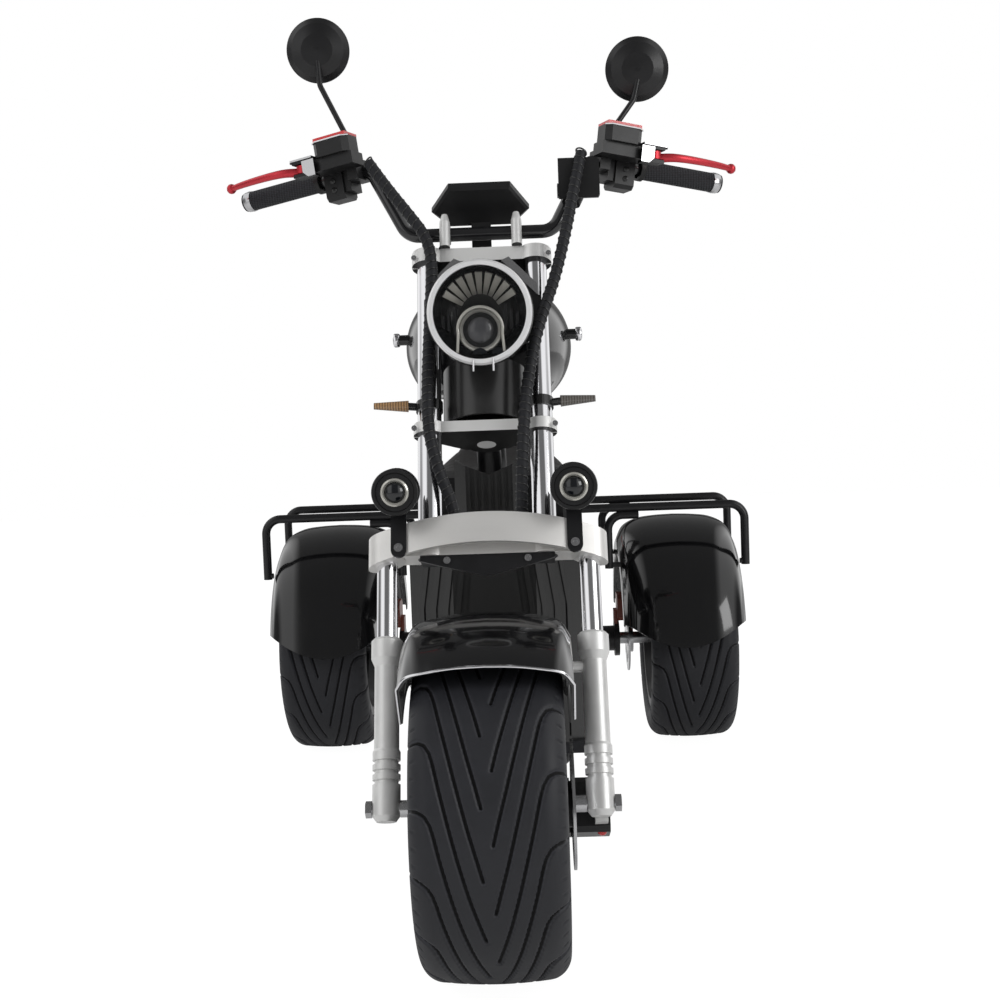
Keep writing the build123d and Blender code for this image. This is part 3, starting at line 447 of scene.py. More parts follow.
NODE_FINISH = {
    "tyre_rubber": "front_tyre rear_tyre_left rear_tyre_right",
    "frame_coat": "front_rim rear_rim_left rear_rim_right bridge_plate main_frame seat_frame fender_racks "
                  "rear_axle swing_arms fog_lamps front_calliper",
    "zinc_plate": "front_brake_disc rear_hub_left rear_hub_right front_axle rear_shocks",
    "cast_silver": "fork_sliders steering_stem",
    "clamp_silver": "fork_clamps",
    "chrome": "fork_tubes",
    "brushed_band": "fork_bridge",
    "satin_ring": "headlight_ring",
    "body_paint": "front_fender rear_fenders tank",
    "gloss_plastic": "front_shield neck_covers",
    "moulded_plastic": "bar_controls display phone_holder headlight_shell plate_bracket battery_case",
    "mirror_plastic": "mirrors",
    "bar_paint": "handlebar",
    "grip_rubber": "grips",
    "anodised_red": "brake_levers",
    "brake_brown": "rear_callipers",
    "soft_rubber": "floor_deck cable_looms",
    "seat_leather": "seat_cushion backrest_cushion",
    "amber_lens": "front_turn_signals",
    "red_lens": "rear_lamps",
    "clear_lens": "headlight_lens",
}


# Mesh helpers

def piece(name, mesh, finish, body):
    """Link a finished mesh as a piece that rides on a body."""
    made = bpy.data.objects.new(name, mesh)
    bpy.context.scene.collection.objects.link(made)
    mesh.materials.clear()
    mesh.materials.append(finishes()[finish])
    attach(made, body)
    return made


def mesh_of(parts, smooth=True):
    """One mesh from (points, faces) parts."""
    points, faces = [], []
    for some_points, some_faces in parts:
        start = len(points)
        points += [tuple(p) for p in some_points]
        faces += [[i + start for i in face] for face in some_faces]
    mesh = bpy.data.meshes.new("piece")
    mesh.from_pydata(points, [], faces)
    shape = bmesh.new()
    shape.from_mesh(mesh)
    bmesh.ops.remove_doubles(shape, verts=shape.verts, dist=1e-6)
    bmesh.ops.recalc_face_normals(shape, faces=shape.faces)
    shape.to_mesh(mesh)
    shape.free()
    for polygon in mesh.polygons:
        polygon.use_smooth = smooth
    mesh.update()
    if smooth:
        mesh.set_sharp_from_angle(angle=math.radians(38))
    return mesh


def turned(profile, origin, axis, steps):
    """A turned part: (distance along the axis, radius) pairs in millimetres, from an origin in metres."""
    axis = Vector(axis).normalized()
    side = axis.orthogonal().normalized()
    other = axis.cross(side)
    points = []
    for k in range(steps):
        angle = math.radians(360 * k / steps)
        out = side * math.cos(angle) + other * math.sin(angle)
        points += [origin + axis * (along * MM) + out * (radius * MM) for along, radius in profile]
    n = len(profile)
    faces = []
    for k in range(steps):
        for j in range(n - 1):
            a, b = k * n + j, (k + 1) % steps * n + j
            faces.append((a, a + 1, b + 1, b))
    return points, faces


def tube(path, radius, sides, taper=None):
    """A round rod along points in metres, with closed ends. The taper scales its radius at each point."""
    points, faces = [], []
    side = None
    for i, at in enumerate(path):
        ahead = (path[min(i + 1, len(path) - 1)] - path[max(i - 1, 0)]).normalized()
        side = (side - ahead * side.dot(ahead) if side else ahead.orthogonal()).normalized()
        other = ahead.cross(side)
        r = radius * (taper[i] if taper else 1) * MM
        for k in range(sides):
            angle = 2 * math.pi * k / sides
            points.append(at + side * (r * math.cos(angle)) + other * (r * math.sin(angle)))
    for i in range(len(path) - 1):
        for k in range(sides):
            a, b = i * sides + k, i * sides + (k + 1) % sides
            faces.append((a, b, b + sides, a + sides))
    faces.append(tuple(range(sides))[::-1])
    faces.append(tuple(range((len(path) - 1) * sides, len(path) * sides)))
    return points, faces


def slab(outline, front, back):
    """A flat part from its outline's corner points, pushed by two offsets."""
    n = len(outline)
    points = [p + front for p in outline] + [p + back for p in outline]
    faces = [tuple(range(n)), tuple(range(2 * n - 1, n - 1, -1))]
    faces += [(i, i + n, (i + 1) % n + n, (i + 1) % n) for i in range(n)]
    return points, faces


def smooth_line(corners, steps=8):
    """A smooth curve through points, as a list of points."""
    ends = [corners[0] * 2 - corners[1], *corners, corners[-1] * 2 - corners[-2]]
    line = []
    for a, b, c, d in zip(ends, ends[1:], ends[2:], ends[3:]):
        for k in range(steps):
            t = k / steps
            line.append(0.5 * ((2 * b) + (c - a) * t + (2 * a - 5 * b + 4 * c - d) * t * t
                               + (3 * b - a - 3 * c + d) * t ** 3))
    return line + [corners[-1]]


def node_tree(name, inputs):
    """An empty geometry tree with a geometry in and out, and its named inputs."""
    tree = bpy.data.node_groups.new(name, "GeometryNodeTree")
    tree.interface.new_socket("Geometry", in_out="INPUT", socket_type="NodeSocketGeometry")
    tree.interface.new_socket("Geometry", in_out="OUTPUT", socket_type="NodeSocketGeometry")
    for label, kind in inputs.items():
        tree.interface.new_socket(label, in_out="INPUT", socket_type="NodeSocket" + kind)
    return tree, tree.nodes.new("NodeGroupInput"), tree.nodes.new("NodeGroupOutput")


def plain_mesh(made):
    """The mesh of an object with its modifiers at work."""
    bpy.context.view_layer.update()
    return bpy.data.meshes.new_from_object(made.evaluated_get(bpy.context.evaluated_depsgraph_get()))


def grow(source, tree, values):
    """Run a geometry tree on an object once, and give the plain mesh that it makes."""
    holder = bpy.data.objects.new("holder", source)
    bpy.context.scene.collection.objects.link(holder)
    modifier = holder.modifiers.new("Grow", "NODES")
    modifier.node_group = tree
    for item in tree.interface.items_tree:
        if item.item_type == "SOCKET" and item.in_out == "INPUT" and item.name in values:
            modifier[item.identifier] = values[item.name]
    mesh = plain_mesh(holder)
    holder.modifiers.remove(modifier)
    bpy.data.objects.remove(holder)
    return mesh


def add(tree, kind, settings=(), **links):
    """A node of a geometry tree, its settings, then its sockets' values or links."""
    made = tree.nodes.new(kind)
    for key, value in dict(settings).items():
        setattr(made, key, value)
    for key, value in links.items():
        slot = made.inputs[key.replace("_", " ")]
        if isinstance(value, bpy.types.NodeSocket):
            tree.links.new(value, slot)
        else:
            slot.default_value = value
    return made


def finish_tree(tree, shape, finish):
    """The end of a geometry tree: plain geometry with its finish."""
    real = add(tree, "GeometryNodeRealizeInstances", Geometry=shape)
    done = add(tree, "GeometryNodeSetMaterial", Geometry=real.outputs[0], Material=finish)
    return done.outputs[0]


# The hexagon socket: its radius as a share of the head's, and how far up it sits as a share of the height
HEX_SHARE = 0.52
HEX_LIFT = 0.6


def screw_tree():
    """Puts a socket head screw at every point, turned to its direction and scaled by its size."""
    tree, given, result = node_tree("Screws", {"Radius": "Float", "Height": "Float", "Finish": "Material"})
    radius, height = given.outputs["Radius"], given.outputs["Height"]
    head = add(tree, "GeometryNodeMeshCylinder", Vertices=20, Radius=radius, Depth=height)
    hollow = add(tree, "GeometryNodeMeshCylinder", Vertices=6, Depth=height)
    narrow = add(tree, "ShaderNodeMath", {"operation": "MULTIPLY"})
    tree.links.new(radius, narrow.inputs[0])
    narrow.inputs[1].default_value = HEX_SHARE
    tree.links.new(narrow.outputs[0], hollow.inputs["Radius"])
    lift = add(tree, "ShaderNodeCombineXYZ", Z=height)
    half = add(tree, "ShaderNodeVectorMath", {"operation": "SCALE"}, Scale=HEX_LIFT)
    tree.links.new(lift.outputs[0], half.inputs[0])
    raised = add(tree, "GeometryNodeTransform", Geometry=hollow.outputs["Mesh"],
                 Translation=half.outputs[0])
    both = add(tree, "GeometryNodeMeshBoolean", {"operation": "DIFFERENCE"})
    tree.links.new(head.outputs["Mesh"], both.inputs["Mesh 1"])
    tree.links.new(raised.outputs[0], both.inputs["Mesh 2"])
    aim = add(tree, "GeometryNodeInputNamedAttribute", {"data_type": "FLOAT_VECTOR"}, Name="direction")
    size = add(tree, "GeometryNodeInputNamedAttribute", {"data_type": "FLOAT"}, Name="size")
    turn = add(tree, "FunctionNodeAlignRotationToVector", {"axis": "Z"}, Vector=aim.outputs["Attribute"])
    spots = add(tree, "GeometryNodeMeshToPoints", Mesh=given.outputs["Geometry"])
    put = add(tree, "GeometryNodeInstanceOnPoints", Points=spots.outputs[0], Instance=both.outputs["Mesh"],
              Rotation=turn.outputs[0], Scale=size.outputs["Attribute"])
    tree.links.new(finish_tree(tree, put.outputs[0], given.outputs["Finish"]), result.inputs["Geometry"])
    return tree


def wrap_tree():
    """Winds a spiral wrap round a line: one slanted turn for each pitch of its length."""
    tree, given, result = node_tree(
        "Spiral wrap",
        {"Radius": "Float", "Pitch": "Float", "Band": "Float", "Slant": "Float", "Finish": "Material"})
    line = add(tree, "GeometryNodeMeshToCurve", Mesh=given.outputs["Geometry"])
    stops = add(tree, "GeometryNodeCurveToPoints", {"mode": "LENGTH"}, Curve=line.outputs[0],
                Length=given.outputs["Pitch"])
    ring = add(tree, "GeometryNodeCurvePrimitiveCircle", Resolution=18, Radius=given.outputs["Radius"])
    strip = add(tree, "GeometryNodeCurvePrimitiveCircle", Resolution=6, Radius=given.outputs["Band"])
    turn = add(tree, "GeometryNodeCurveToMesh", Curve=ring.outputs[0], Profile_Curve=strip.outputs[0])
    tilt = add(tree, "FunctionNodeRotateRotation", {"rotation_space": "LOCAL"},
               Rotation=stops.outputs["Rotation"])
    lean = add(tree, "ShaderNodeCombineXYZ", X=given.outputs["Slant"])
    spin = add(tree, "FunctionNodeEulerToRotation", Euler=lean.outputs[0])
    tree.links.new(spin.outputs[0], tilt.inputs["Rotate By"])
    put = add(tree, "GeometryNodeInstanceOnPoints", Points=stops.outputs["Points"], Instance=turn.outputs[0],
              Rotation=tilt.outputs[0])
    tree.links.new(finish_tree(tree, put.outputs[0], given.outputs["Finish"]), result.inputs["Geometry"])
    return tree


def screws(name, body, finish, spots, radius=0.006, height=0.005):
    """One mesh of screws: (place, direction, size) spots."""
    mesh = bpy.data.meshes.new("spots")
    mesh.from_pydata([tuple(at) for at, aim, size in spots], [], [])
    mesh.attributes.new("direction", "FLOAT_VECTOR", "POINT").data.foreach_set(
        "vector", [c for at, aim, size in spots for c in aim])
    mesh.attributes.new("size", "FLOAT", "POINT").data.foreach_set(
        "value", [size for at, aim, size in spots])
    tree = bpy.data.node_groups.get("Screws") or screw_tree()
    grown = grow(mesh, tree, {"Radius": radius, "Height": height, "Finish": finishes()[finish]})
    return piece(name, grown, finish, body)


# Tyres

def arc_points(a, b, c, n):
    """Points along the circle through three points, ends included."""
    ax, ay, bx, by, cx, cy = *a, *b, *c
    d = 2 * (ax * (by - cy) + bx * (cy - ay) + cx * (ay - by))
    ux = ((ax**2 + ay**2) * (by - cy) + (bx**2 + by**2) * (cy - ay) + (cx**2 + cy**2) * (ay - by)) / d
    uy = ((ax**2 + ay**2) * (cx - bx) + (bx**2 + by**2) * (ax - cx) + (cx**2 + cy**2) * (bx - ax)) / d
    r = math.hypot(ax - ux, ay - uy)
    t0, t1, t2 = (math.atan2(y - uy, x - ux) for x, y in (a, b, c))
    turn = (t2 - t0) % (2 * math.pi)
    if (t1 - t0) % (2 * math.pi) > turn:
        turn -= 2 * math.pi
    angles = [t0 + turn * k / n for k in range(n + 1)]
    return [(ux + r * math.cos(t), uy + r * math.sin(t)) for t in angles]


# One groove from the shoulder to the middle: share of the half width, and pitches round the tyre
GROOVE_LINE = ((1.00, -0.17), (0.88, -0.15), (0.78, -0.09), (0.71, 0.03), (0.665, 0.20), (0.60, 0.52),
               (0.50, 0.98), (0.38, 1.52), (0.25, 2.08), (0.14, 2.52), (0.07, 2.82))
FAR_FROM_GROOVE = 30.0
TREAD_DEPTH = 44
GROOVE_EDGE = 1.4
WEAR_TICK = 1.4
BEAD_R = 153.5
RIM_SEAT_R = 164.4


def groove_distance(x, v, pitch, half):
    """Distance in millimetres from tread points to the nearest groove's middle line."""
    best = np.full(x.shape, FAR_FROM_GROOVE)
    for side in SIDES:
        stagger = 0.0 if side > 0 else 0.5
        line = [(side * share * half, (turn + stagger) * pitch) for share, turn in GROOVE_LINE]
        for k in range(-4, 3):
            for (x0, v0), (x1, v1) in zip(line, line[1:]):
                v0k, v1k = v0 + k * pitch, v1 + k * pitch
                dx, dv = x1 - x0, v1k - v0k
                t = np.clip(((x - x0) * dx + (v - v0k) * dv) / (dx * dx + dv * dv), 0, 1)
                best = np.minimum(best, np.hypot(x - x0 - t * dx, v - v0k - t * dv))
    return best


def tyre_mesh(width, centre, sizes, rows):
    """A tyre with directional grooves cut into its tread, on the CAD tyre's own profile."""
    half = width / 2
    crown, bead, foot = half - 32, half - 12, RIM_SEAT_R
    right = arc_points((0, TYRE_R), (crown / 2, TYRE_R - 1.0), (crown, TYRE_R - 4), 32)
    right += arc_points((crown, TYRE_R - 4), (half - 9, TYRE_R - 14), (half, TYRE_R - 42), 18)[1:]
    right += arc_points((half, TYRE_R - 42), (half - 1.5, TYRE_R - 60), (bead, foot), 6)[1:]
    right += [(bead, BEAD_R), (bead - 12, BEAD_R)]
    profile = [(-x, r) for x, r in right[:0:-1]] + right
    xs, rs = (np.array(column) for column in zip(*profile))
    slope_x, slope_r = np.gradient(xs), np.gradient(rs)
    length = np.hypot(slope_x, slope_r)
    out_x, out_r = -slope_r / length, slope_x / length
    per_pitch = rows // sizes.repeats
    pitch = 2 * math.pi * TYRE_R / sizes.repeats
    v = np.arange(per_pitch) / per_pitch * pitch
    grid_x, grid_v = np.meshgrid(xs, v)
    away = groove_distance(grid_x, grid_v, pitch, half)
    away[:, rs < TYRE_R - TREAD_DEPTH] = FAR_FROM_GROOVE
    wide = sizes.groove_width / MM / 2
    cut = np.clip((wide + 1.1 - away) / GROOVE_EDGE, 0, 1)
    depth = cut * sizes.groove_depth / MM
    ticks = (np.abs(np.abs(grid_x) - half * 0.93) < 3) & (np.abs((grid_v / pitch * 4) % 1 - 0.5) < 0.06)
    depth = np.maximum(depth, ticks * WEAR_TICK)
    points, grooves = [], []
    for row in range(per_pitch * sizes.repeats):
        angle = 2 * math.pi * row / (per_pitch * sizes.repeats)
        d = depth[row % per_pitch]
        x, r = xs - out_x * d, rs - out_r * d
        points.append(np.stack([x + centre.x / MM, centre.y / MM - r * math.cos(angle),
                                centre.z / MM - r * math.sin(angle)], 1))
        grooves.append(away[row % per_pitch])
    points = np.concatenate(points) * MM
    n, total = len(xs), per_pitch * sizes.repeats
    faces = [(k * n + j, k * n + j + 1, (k + 1) % total * n + j + 1, (k + 1) % total * n + j)
             for k in range(total) for j in range(n - 1)]
    mesh = bpy.data.meshes.new("tyre")
    mesh.from_pydata(points.tolist(), [], faces)
    mesh.attributes.new("groove", "FLOAT", "POINT").data.foreach_set("value", np.concatenate(grooves))
    for polygon in mesh.polygons:
        polygon.use_smooth = True
    mesh.update()
    return mesh


# Node, body, width and rows of the mesh round each tyre
TYRES = (
    ("front_tyre", "front_wheel", 203, 640),
    ("rear_tyre_left", "rear_wheel_left", 195, 480),
    ("rear_tyre_right", "rear_wheel_right", 195, 480),
)


class TRICYCLE_OT_finishes(bpy.types.Operator):
    """Give every CAD part its finish"""

    bl_idname = "tricycle.finishes"
    bl_label = "Part finishes"

    def execute(self, context):
        made = finishes()
        for finish, nodes in NODE_FINISH.items():
            for node in nodes.split():
                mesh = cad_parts[node].data
                mesh.materials.clear()
                mesh.materials.append(made[finish])
        return {"FINISHED"}


class TRICYCLE_OT_tyres(bpy.types.Operator):
    """Cut the directional tread of the three tyres"""

    bl_idname = "tricycle.tyres"
    bl_label = "Tyre treads"

    def execute(self, context):
        sizes = context.scene.tricycle_sizes
        for node, body, width, rows in TYRES:
            low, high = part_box(node)
            mesh = tyre_mesh(width, (low + high) / 2, sizes, rows)
            tyre = piece(node + "_tread", mesh, "tyre_rubber", body)
            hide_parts(node)
        return {"FINISHED"}


VOXEL = 0.006
SHRINK = 0.005
PRESSURE = 4
LAST_FRAME = 20
SMOOTHINGS = 7
SEAM_HEIGHT = 0.016


def swollen(node, name, sizes):
    """A cushion grown from its CAD solid: remeshed, blown up a little by cloth pressure, and smoothed."""
    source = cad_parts[node]
    low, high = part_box(node)
    middle = (low + high) / 2
    mesh = source.data.copy()
    shape = bmesh.new()
    shape.from_mesh(mesh)
    bmesh.ops.remove_doubles(shape, verts=shape.verts, dist=1e-5)
    scales = [1 - 2 * SHRINK / size for size in high - low]
    for vertex in shape.verts:
        vertex.co = middle + Vector([c * scale for c, scale in zip(vertex.co - middle, scales)])
    shape.to_mesh(mesh)
    shape.free()
    made = piece(name, mesh, "seat_leather", "frame")
    remesh = made.modifiers.new("Remesh", "REMESH")
    remesh.mode, remesh.voxel_size = "VOXEL", VOXEL
    apply_all(made)
    rest = [v.co.copy() for v in made.data.vertices]
    cloth = made.modifiers.new("Cloth", "CLOTH")
    cloth.settings.use_pressure = True
    cloth.settings.uniform_pressure_force = PRESSURE
    cloth.settings.effector_weights.gravity = 0
    cloth.settings.quality = 5
    cloth.point_cache.frame_start, cloth.point_cache.frame_end = 1, LAST_FRAME
    for step in range(1, LAST_FRAME + 1):
        bpy.context.scene.frame_set(step)
    apply_all(made)
    bpy.context.scene.frame_set(1)
    floor_z = low.z + 0.0005
    for vertex, start in zip(made.data.vertices, rest):
        move = vertex.co - start
        if move.length > sizes.puff:
            vertex.co = start + move.normalized() * sizes.puff
        vertex.co.z = max(vertex.co.z, floor_z)
    shape = bmesh.new()
    shape.from_mesh(made.data)
    for turn in range(SMOOTHINGS):
        bmesh.ops.smooth_vert(shape, verts=shape.verts, factor=0.5, use_axis_x=True, use_axis_y=True,
                              use_axis_z=True)
    shape.to_mesh(made.data)
    shape.free()
    return made


def apply_all(made):
    """Turn the piece's modifiers into plain mesh."""
    mesh = plain_mesh(made)
    made.modifiers.clear()
    old = made.data
    made.data = mesh
    bpy.data.meshes.remove(old)
    for polygon in mesh.polygons:
        polygon.use_smooth = True


def cut_line(mesh, axis, level, count=160):
    """The outline where a plane across an axis cuts a rounded mesh, by angle round the cut's middle."""
    near = [v.co.copy() for v in mesh.vertices if abs(v.co[axis] - level) < VOXEL]
    middle = sum(near, Vector()) / len(near)
    a, b = [k for k in range(3) if k != axis]
    reach = [0.0] * count
    for p in near:
        turn = math.atan2(p[b] - middle[b], p[a] - middle[a]) / (2 * math.pi) + 0.5
        slot = int(turn * count) % count
        reach[slot] = max(reach[slot], math.hypot(p[a] - middle[a], p[b] - middle[b]))
    for k in range(count):
        if not reach[k]:
            reach[k] = (reach[k - 1] + reach[(k + 1) % count]) / (2 if reach[(k + 1) % count] else 1)
    smooth = [sum(reach[(k + j) % count] for j in (-2, -1, 0, 1, 2)) / 5 for k in range(count)]
    line = []
    for k, r in enumerate(smooth):
        angle = ((k + 0.5) / count - 0.5) * 2 * math.pi
        p = middle.copy()
        p[axis], p[a], p[b] = level, middle[a] + r * math.cos(angle), middle[b] + r * math.sin(angle)
        line.append(p)
    return line


def closed_line(points):
    """A mesh of edges through points and back to the first."""
    mesh = bpy.data.meshes.new("line")
    n = len(points)
    mesh.from_pydata([tuple(p) for p in points], [(k, (k + 1) % n) for k in range(n)], [])
    return mesh


def stitch_tree():
    """A piped edge along a closed line, with a row of stitches on it."""
    tree, given, result = node_tree(
        "Stitches",
        {"Radius": "Float", "Length": "Float", "Pitch": "Float", "Piping": "Material", "Thread": "Material"})
    line = add(tree, "GeometryNodeMeshToCurve", Mesh=given.outputs["Geometry"])
    ring = add(tree, "GeometryNodeCurvePrimitiveCircle", Resolution=8, Radius=given.outputs["Radius"])
    cord = add(tree, "GeometryNodeCurveToMesh", Curve=line.outputs[0], Profile_Curve=ring.outputs[0])
    covered = add(tree, "GeometryNodeSetMaterial", Geometry=cord.outputs[0], Material=given.outputs["Piping"])
    stops = add(tree, "GeometryNodeCurveToPoints", {"mode": "LENGTH"}, Curve=line.outputs[0],
                Length=given.outputs["Pitch"])
    thick = add(tree, "ShaderNodeMath", {"operation": "MULTIPLY"})
    tree.links.new(given.outputs["Radius"], thick.inputs[0])
    thick.inputs[1].default_value = 1.14
    stitch = add(tree, "GeometryNodeMeshCylinder", Vertices=8, Radius=thick.outputs[0],
                 Depth=given.outputs["Length"])
    put = add(tree, "GeometryNodeInstanceOnPoints", Points=stops.outputs["Points"],
              Instance=stitch.outputs["Mesh"], Rotation=stops.outputs["Rotation"])
    sewn = finish_tree(tree, put.outputs[0], given.outputs["Thread"])
    both = add(tree, "GeometryNodeJoinGeometry")
    tree.links.new(covered.outputs[0], both.inputs[0])
    tree.links.new(sewn, both.inputs[0])
    tree.links.new(both.outputs[0], result.inputs["Geometry"])
    return tree


# Node, name, and the axis across which the seam runs round
CUSHIONS = (("seat_cushion", "seat_cover", 2), ("backrest_cushion", "backrest_cover", 1))


class TRICYCLE_OT_cushions(bpy.types.Operator):
    """Sew and stuff the seat and the backrest"""

    bl_idname = "tricycle.cushions"
    bl_label = "Seat and backrest"

    def execute(self, context):
        sizes = context.scene.tricycle_sizes
        for node, name, axis in CUSHIONS:
            cover = swollen(node, name, sizes)
            finer = cover.modifiers.new("Finer", "SUBSURF")
            finer.levels = finer.render_levels = 1
            apply_all(cover)
            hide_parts(node)
            low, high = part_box(node)
            level = low.z + SEAM_HEIGHT if axis == 2 else (low.y + high.y) / 2
            outline = cut_line(cover.data, axis, level)
            tree = bpy.data.node_groups.get("Stitches") or stitch_tree()
            seam = grow(closed_line(outline), tree, {"Radius": 0.0022, "Length": 0.0012, "Pitch": 0.006,
                                                     "Piping": finishes()["soft_rubber"],
                                                     "Thread": finishes()["stitch_thread"]})
            seamed = bpy.data.objects.new(name + "_piping", seam)
            context.scene.collection.objects.link(seamed)
            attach(seamed, "frame")
        return {"FINISHED"}


# Each loom's route along the fork, in millimetres, from the bar to the bridge yoke
LOOM_ROUTES = (
    ("loom_right", ((-176, -80, 1014), (-150, -70, 976), (-111, -57, 926), (-86, -46, 893), (-77, -41, 850),
                    (-80, -40, 780), (-86, -40, 650), (-86, -39, 560), (-71, -30, 498), (-46, -6, 436),
                    (-46, -6, 386.5))),
    ("loom_left", ((166, -78, 1018), (150, -66, 949), (138, -52, 895), (117, -42, 813), (96, -41, 755),
                   (80, -40, 700), (65, -40, 617), (58, -36, 540), (52, -8, 440), (52, -8, 386.5))),
)


class TRICYCLE_OT_looms(bpy.types.Operator):
    """Lay the cable looms from the handlebar down the fork, with their spiral wrap"""

    bl_idname = "tricycle.looms"
    bl_label = "Cable looms"

    def execute(self, context):
        sizes = context.scene.tricycle_sizes
        tree = wrap_tree()
        for name, route in LOOM_ROUTES:
            data = bpy.data.curves.new(name, "CURVE")
            data.dimensions = "3D"
            spline = data.splines.new("NURBS")
            spline.points.add(len(route) - 1)
            for point, at in zip(spline.points, route):
                point.co = (*fork(*at), 1)
            spline.order_u, spline.use_endpoint_u = 3, True
            spline.resolution_u = 12
            bare = bpy.data.objects.new(name + "_line", data)
            context.scene.collection.objects.link(bare)
            line = plain_mesh(bare)
            bpy.data.objects.remove(bare)
            data.bevel_depth, data.bevel_resolution, data.use_fill_caps = sizes.loom_radius, 4, True
            data.materials.append(finishes()["soft_rubber"])
            loom = bpy.data.objects.new(name, data)
            context.scene.collection.objects.link(loom)
            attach(loom, "steering")
            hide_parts("cable_looms")
            grown = grow(line, tree, {"Radius": sizes.loom_radius, "Pitch": sizes.wrap_pitch, "Band": 0.0014,
                                      "Slant": 0.35, "Finish": finishes()["gloss_plastic"]})
            wrap = piece(name + "_wrap", grown, "gloss_plastic", "steering")
        return {"FINISHED"}


LAMP_CENTRE = place(0, 166, 938)
FOG_LAMP_X, FOG_LAMP_Y, FOG_LAMP_Z = 130, 92, 677


class TRICYCLE_OT_headlight(bpy.types.Operator):
    """Fit the headlight's reflector, fins, projector and pins"""

    bl_idname = "tricycle.headlight"
    bl_label = "Headlight"

    def execute(self, context):
        centre, rear = LAMP_CENTRE, REARWARD
        bowl = turned([(8, 69.5), (20, 68), (36, 62), (48, 48), (55, 36), (57, 0)], centre, rear, 64)
        piece("lamp_bowl", mesh_of([bowl]), "gloss_plastic", "steering")
        ribs = []
        for k in range(9):
            angle = math.radians(90 + (k - 4) * 15)
            out = Vector((math.cos(angle), 0, math.sin(angle)))
            side = Vector((-math.sin(angle), 0, math.cos(angle)))
            foot, tip = centre + (out * 30 + rear * 42) * MM, centre + (out * 60 + rear * 14) * MM
            foot_half, tip_half = side * (3.2 * MM), side * (5.6 * MM)
            corners = [foot - foot_half, foot + foot_half, tip + tip_half, tip - tip_half]
            ribs.append(slab(corners, rear * MM, (rear * 5 + out * 2) * MM))
        piece("lamp_fan", mesh_of(ribs, False), "reflector", "steering")
        fins = []
        for side in SIDES:
            for k in range(3):
                x0, x1 = side * (36 + 9 * k), side * (40 + 9 * k)
                top, foot = 8 - 6 * k, -34 + 6 * k
                corners = ((x0, top), (x1, top + 3), (x1, foot + 3), (x0, foot))
                outline = [centre + Vector((x, 0, z)) * MM for x, z in corners]
                fins.append(slab(outline, rear * (12 * MM), rear * (38 * MM)))
        piece("lamp_fins", mesh_of(fins, False), "moulded_plastic", "steering")
        eye = centre + Vector((0, 0, -26)) * MM
        bezel = turned([(34, 34), (13, 34), (10, 32.5), (9, 30), (11, 28), (17, 26), (24, 25)], eye, rear, 56)
        piece("projector_bezel", mesh_of([bezel]), "reflector", "steering")
        glass = turned([(24, 25), (18, 22), (13.5, 16), (11, 8), (10.4, 0)], eye, rear, 48)
        piece("projector_glass", mesh_of([glass]), "projector_lens", "steering")
        arch = []
        for k in range(13):
            angle = math.radians(-12 + 204 * k / 12)
            arch.append(eye + Vector((math.cos(angle) * 34, 6, math.sin(angle) * 34)) * MM)
        legs = [arch[0] + Vector((2, 2, -26)) * MM, *arch, arch[-1] + Vector((-2, 2, -26)) * MM]
        piece("projector_arch", mesh_of([tube(smooth_line(legs, 4), 2.4, 10)]), "reflector", "steering")
        caps = []
        for x in (-2, 27):
            foot = centre + Vector((x, 9, -62)) * MM
            ring = [foot + Vector((math.cos(math.pi * k / 10) * 11, 0, math.sin(math.pi * k / 10) * 9)) * MM
                    for k in range(11)]
            caps.append(slab(ring, rear * 0, rear * (14 * MM)))
        piece("lamp_half_rounds", mesh_of(caps, False), "screen_glass", "steering")
        pins = [tube([centre + Vector((x, -1, z)) * MM for z in (-70, -88)], 1.6, 8) for x in (-12, 18)]
        piece("lamp_pins", mesh_of(pins), "zinc_plate", "steering")
        shell = ((16, 79.4), (22, 81), (44, 77), (60, 66), (86, 49), (98, 46), (98, 44))
        bucket = turned(shell, centre, rear, 64)
        piece("lamp_bucket", mesh_of([bucket]), "gloss_plastic", "steering")
        return {"FINISHED"}


class TRICYCLE_OT_fog_lamps(bpy.types.Operator):
    """Fit lenses, rims and cooling ribs to the two fog lamps"""

    bl_idname = "tricycle.fog_lamps"
    bl_label = "Fog lamps"

    def execute(self, context):
        rims, glass, rings = [], [], []
        for side in SIDES:
            face = place(side * FOG_LAMP_X, FOG_LAMP_Y, FOG_LAMP_Z)
            rims.append(turned([(6, 33.6), (0, 34.6), (-3, 33.5), (-3, 29), (1, 27)], face, REARWARD, 48))
            rings.append(turned([(1, 21), (-4.5, 20.5), (-6, 18), (-4, 16), (0, 15)], face, REARWARD, 40))
            glass.append(turned([(-0.5, 15.4), (-5, 12), (-7.5, 6), (-8.2, 0)], face, REARWARD, 36))
            rims += [turned([(at, 20), (at, 34.4), (at + 2.4, 34.4), (at + 2.4, 20)], face, REARWARD, 40)
                     for at in (19, 25, 31)]
        piece("fog_rims", mesh_of(rims), "moulded_plastic", "steering")
        piece("fog_rings", mesh_of(rings), "reflector", "steering")
        piece("fog_glass", mesh_of(glass), "screen_glass", "steering")
        return {"FINISHED"}


FENDER_WALL = 3.5
REAR_FENDER_X = 397.5


def fender_section(half, top, skirt, shoulder):
    """The outer line of a fender's section, from one skirt over the crown to the other."""
    drops = ((0, 0), (0.34, 2), (0.64, 8), (0.88, shoulder * 0.55), (1, shoulder * 1.25))
    right = smooth_line([Vector((half * share, top - drop)) for share, drop in drops], 6)
    right.append(Vector((half, skirt)))
    return [Vector((-p.x, p.y)) for p in reversed(right[1:])] + right


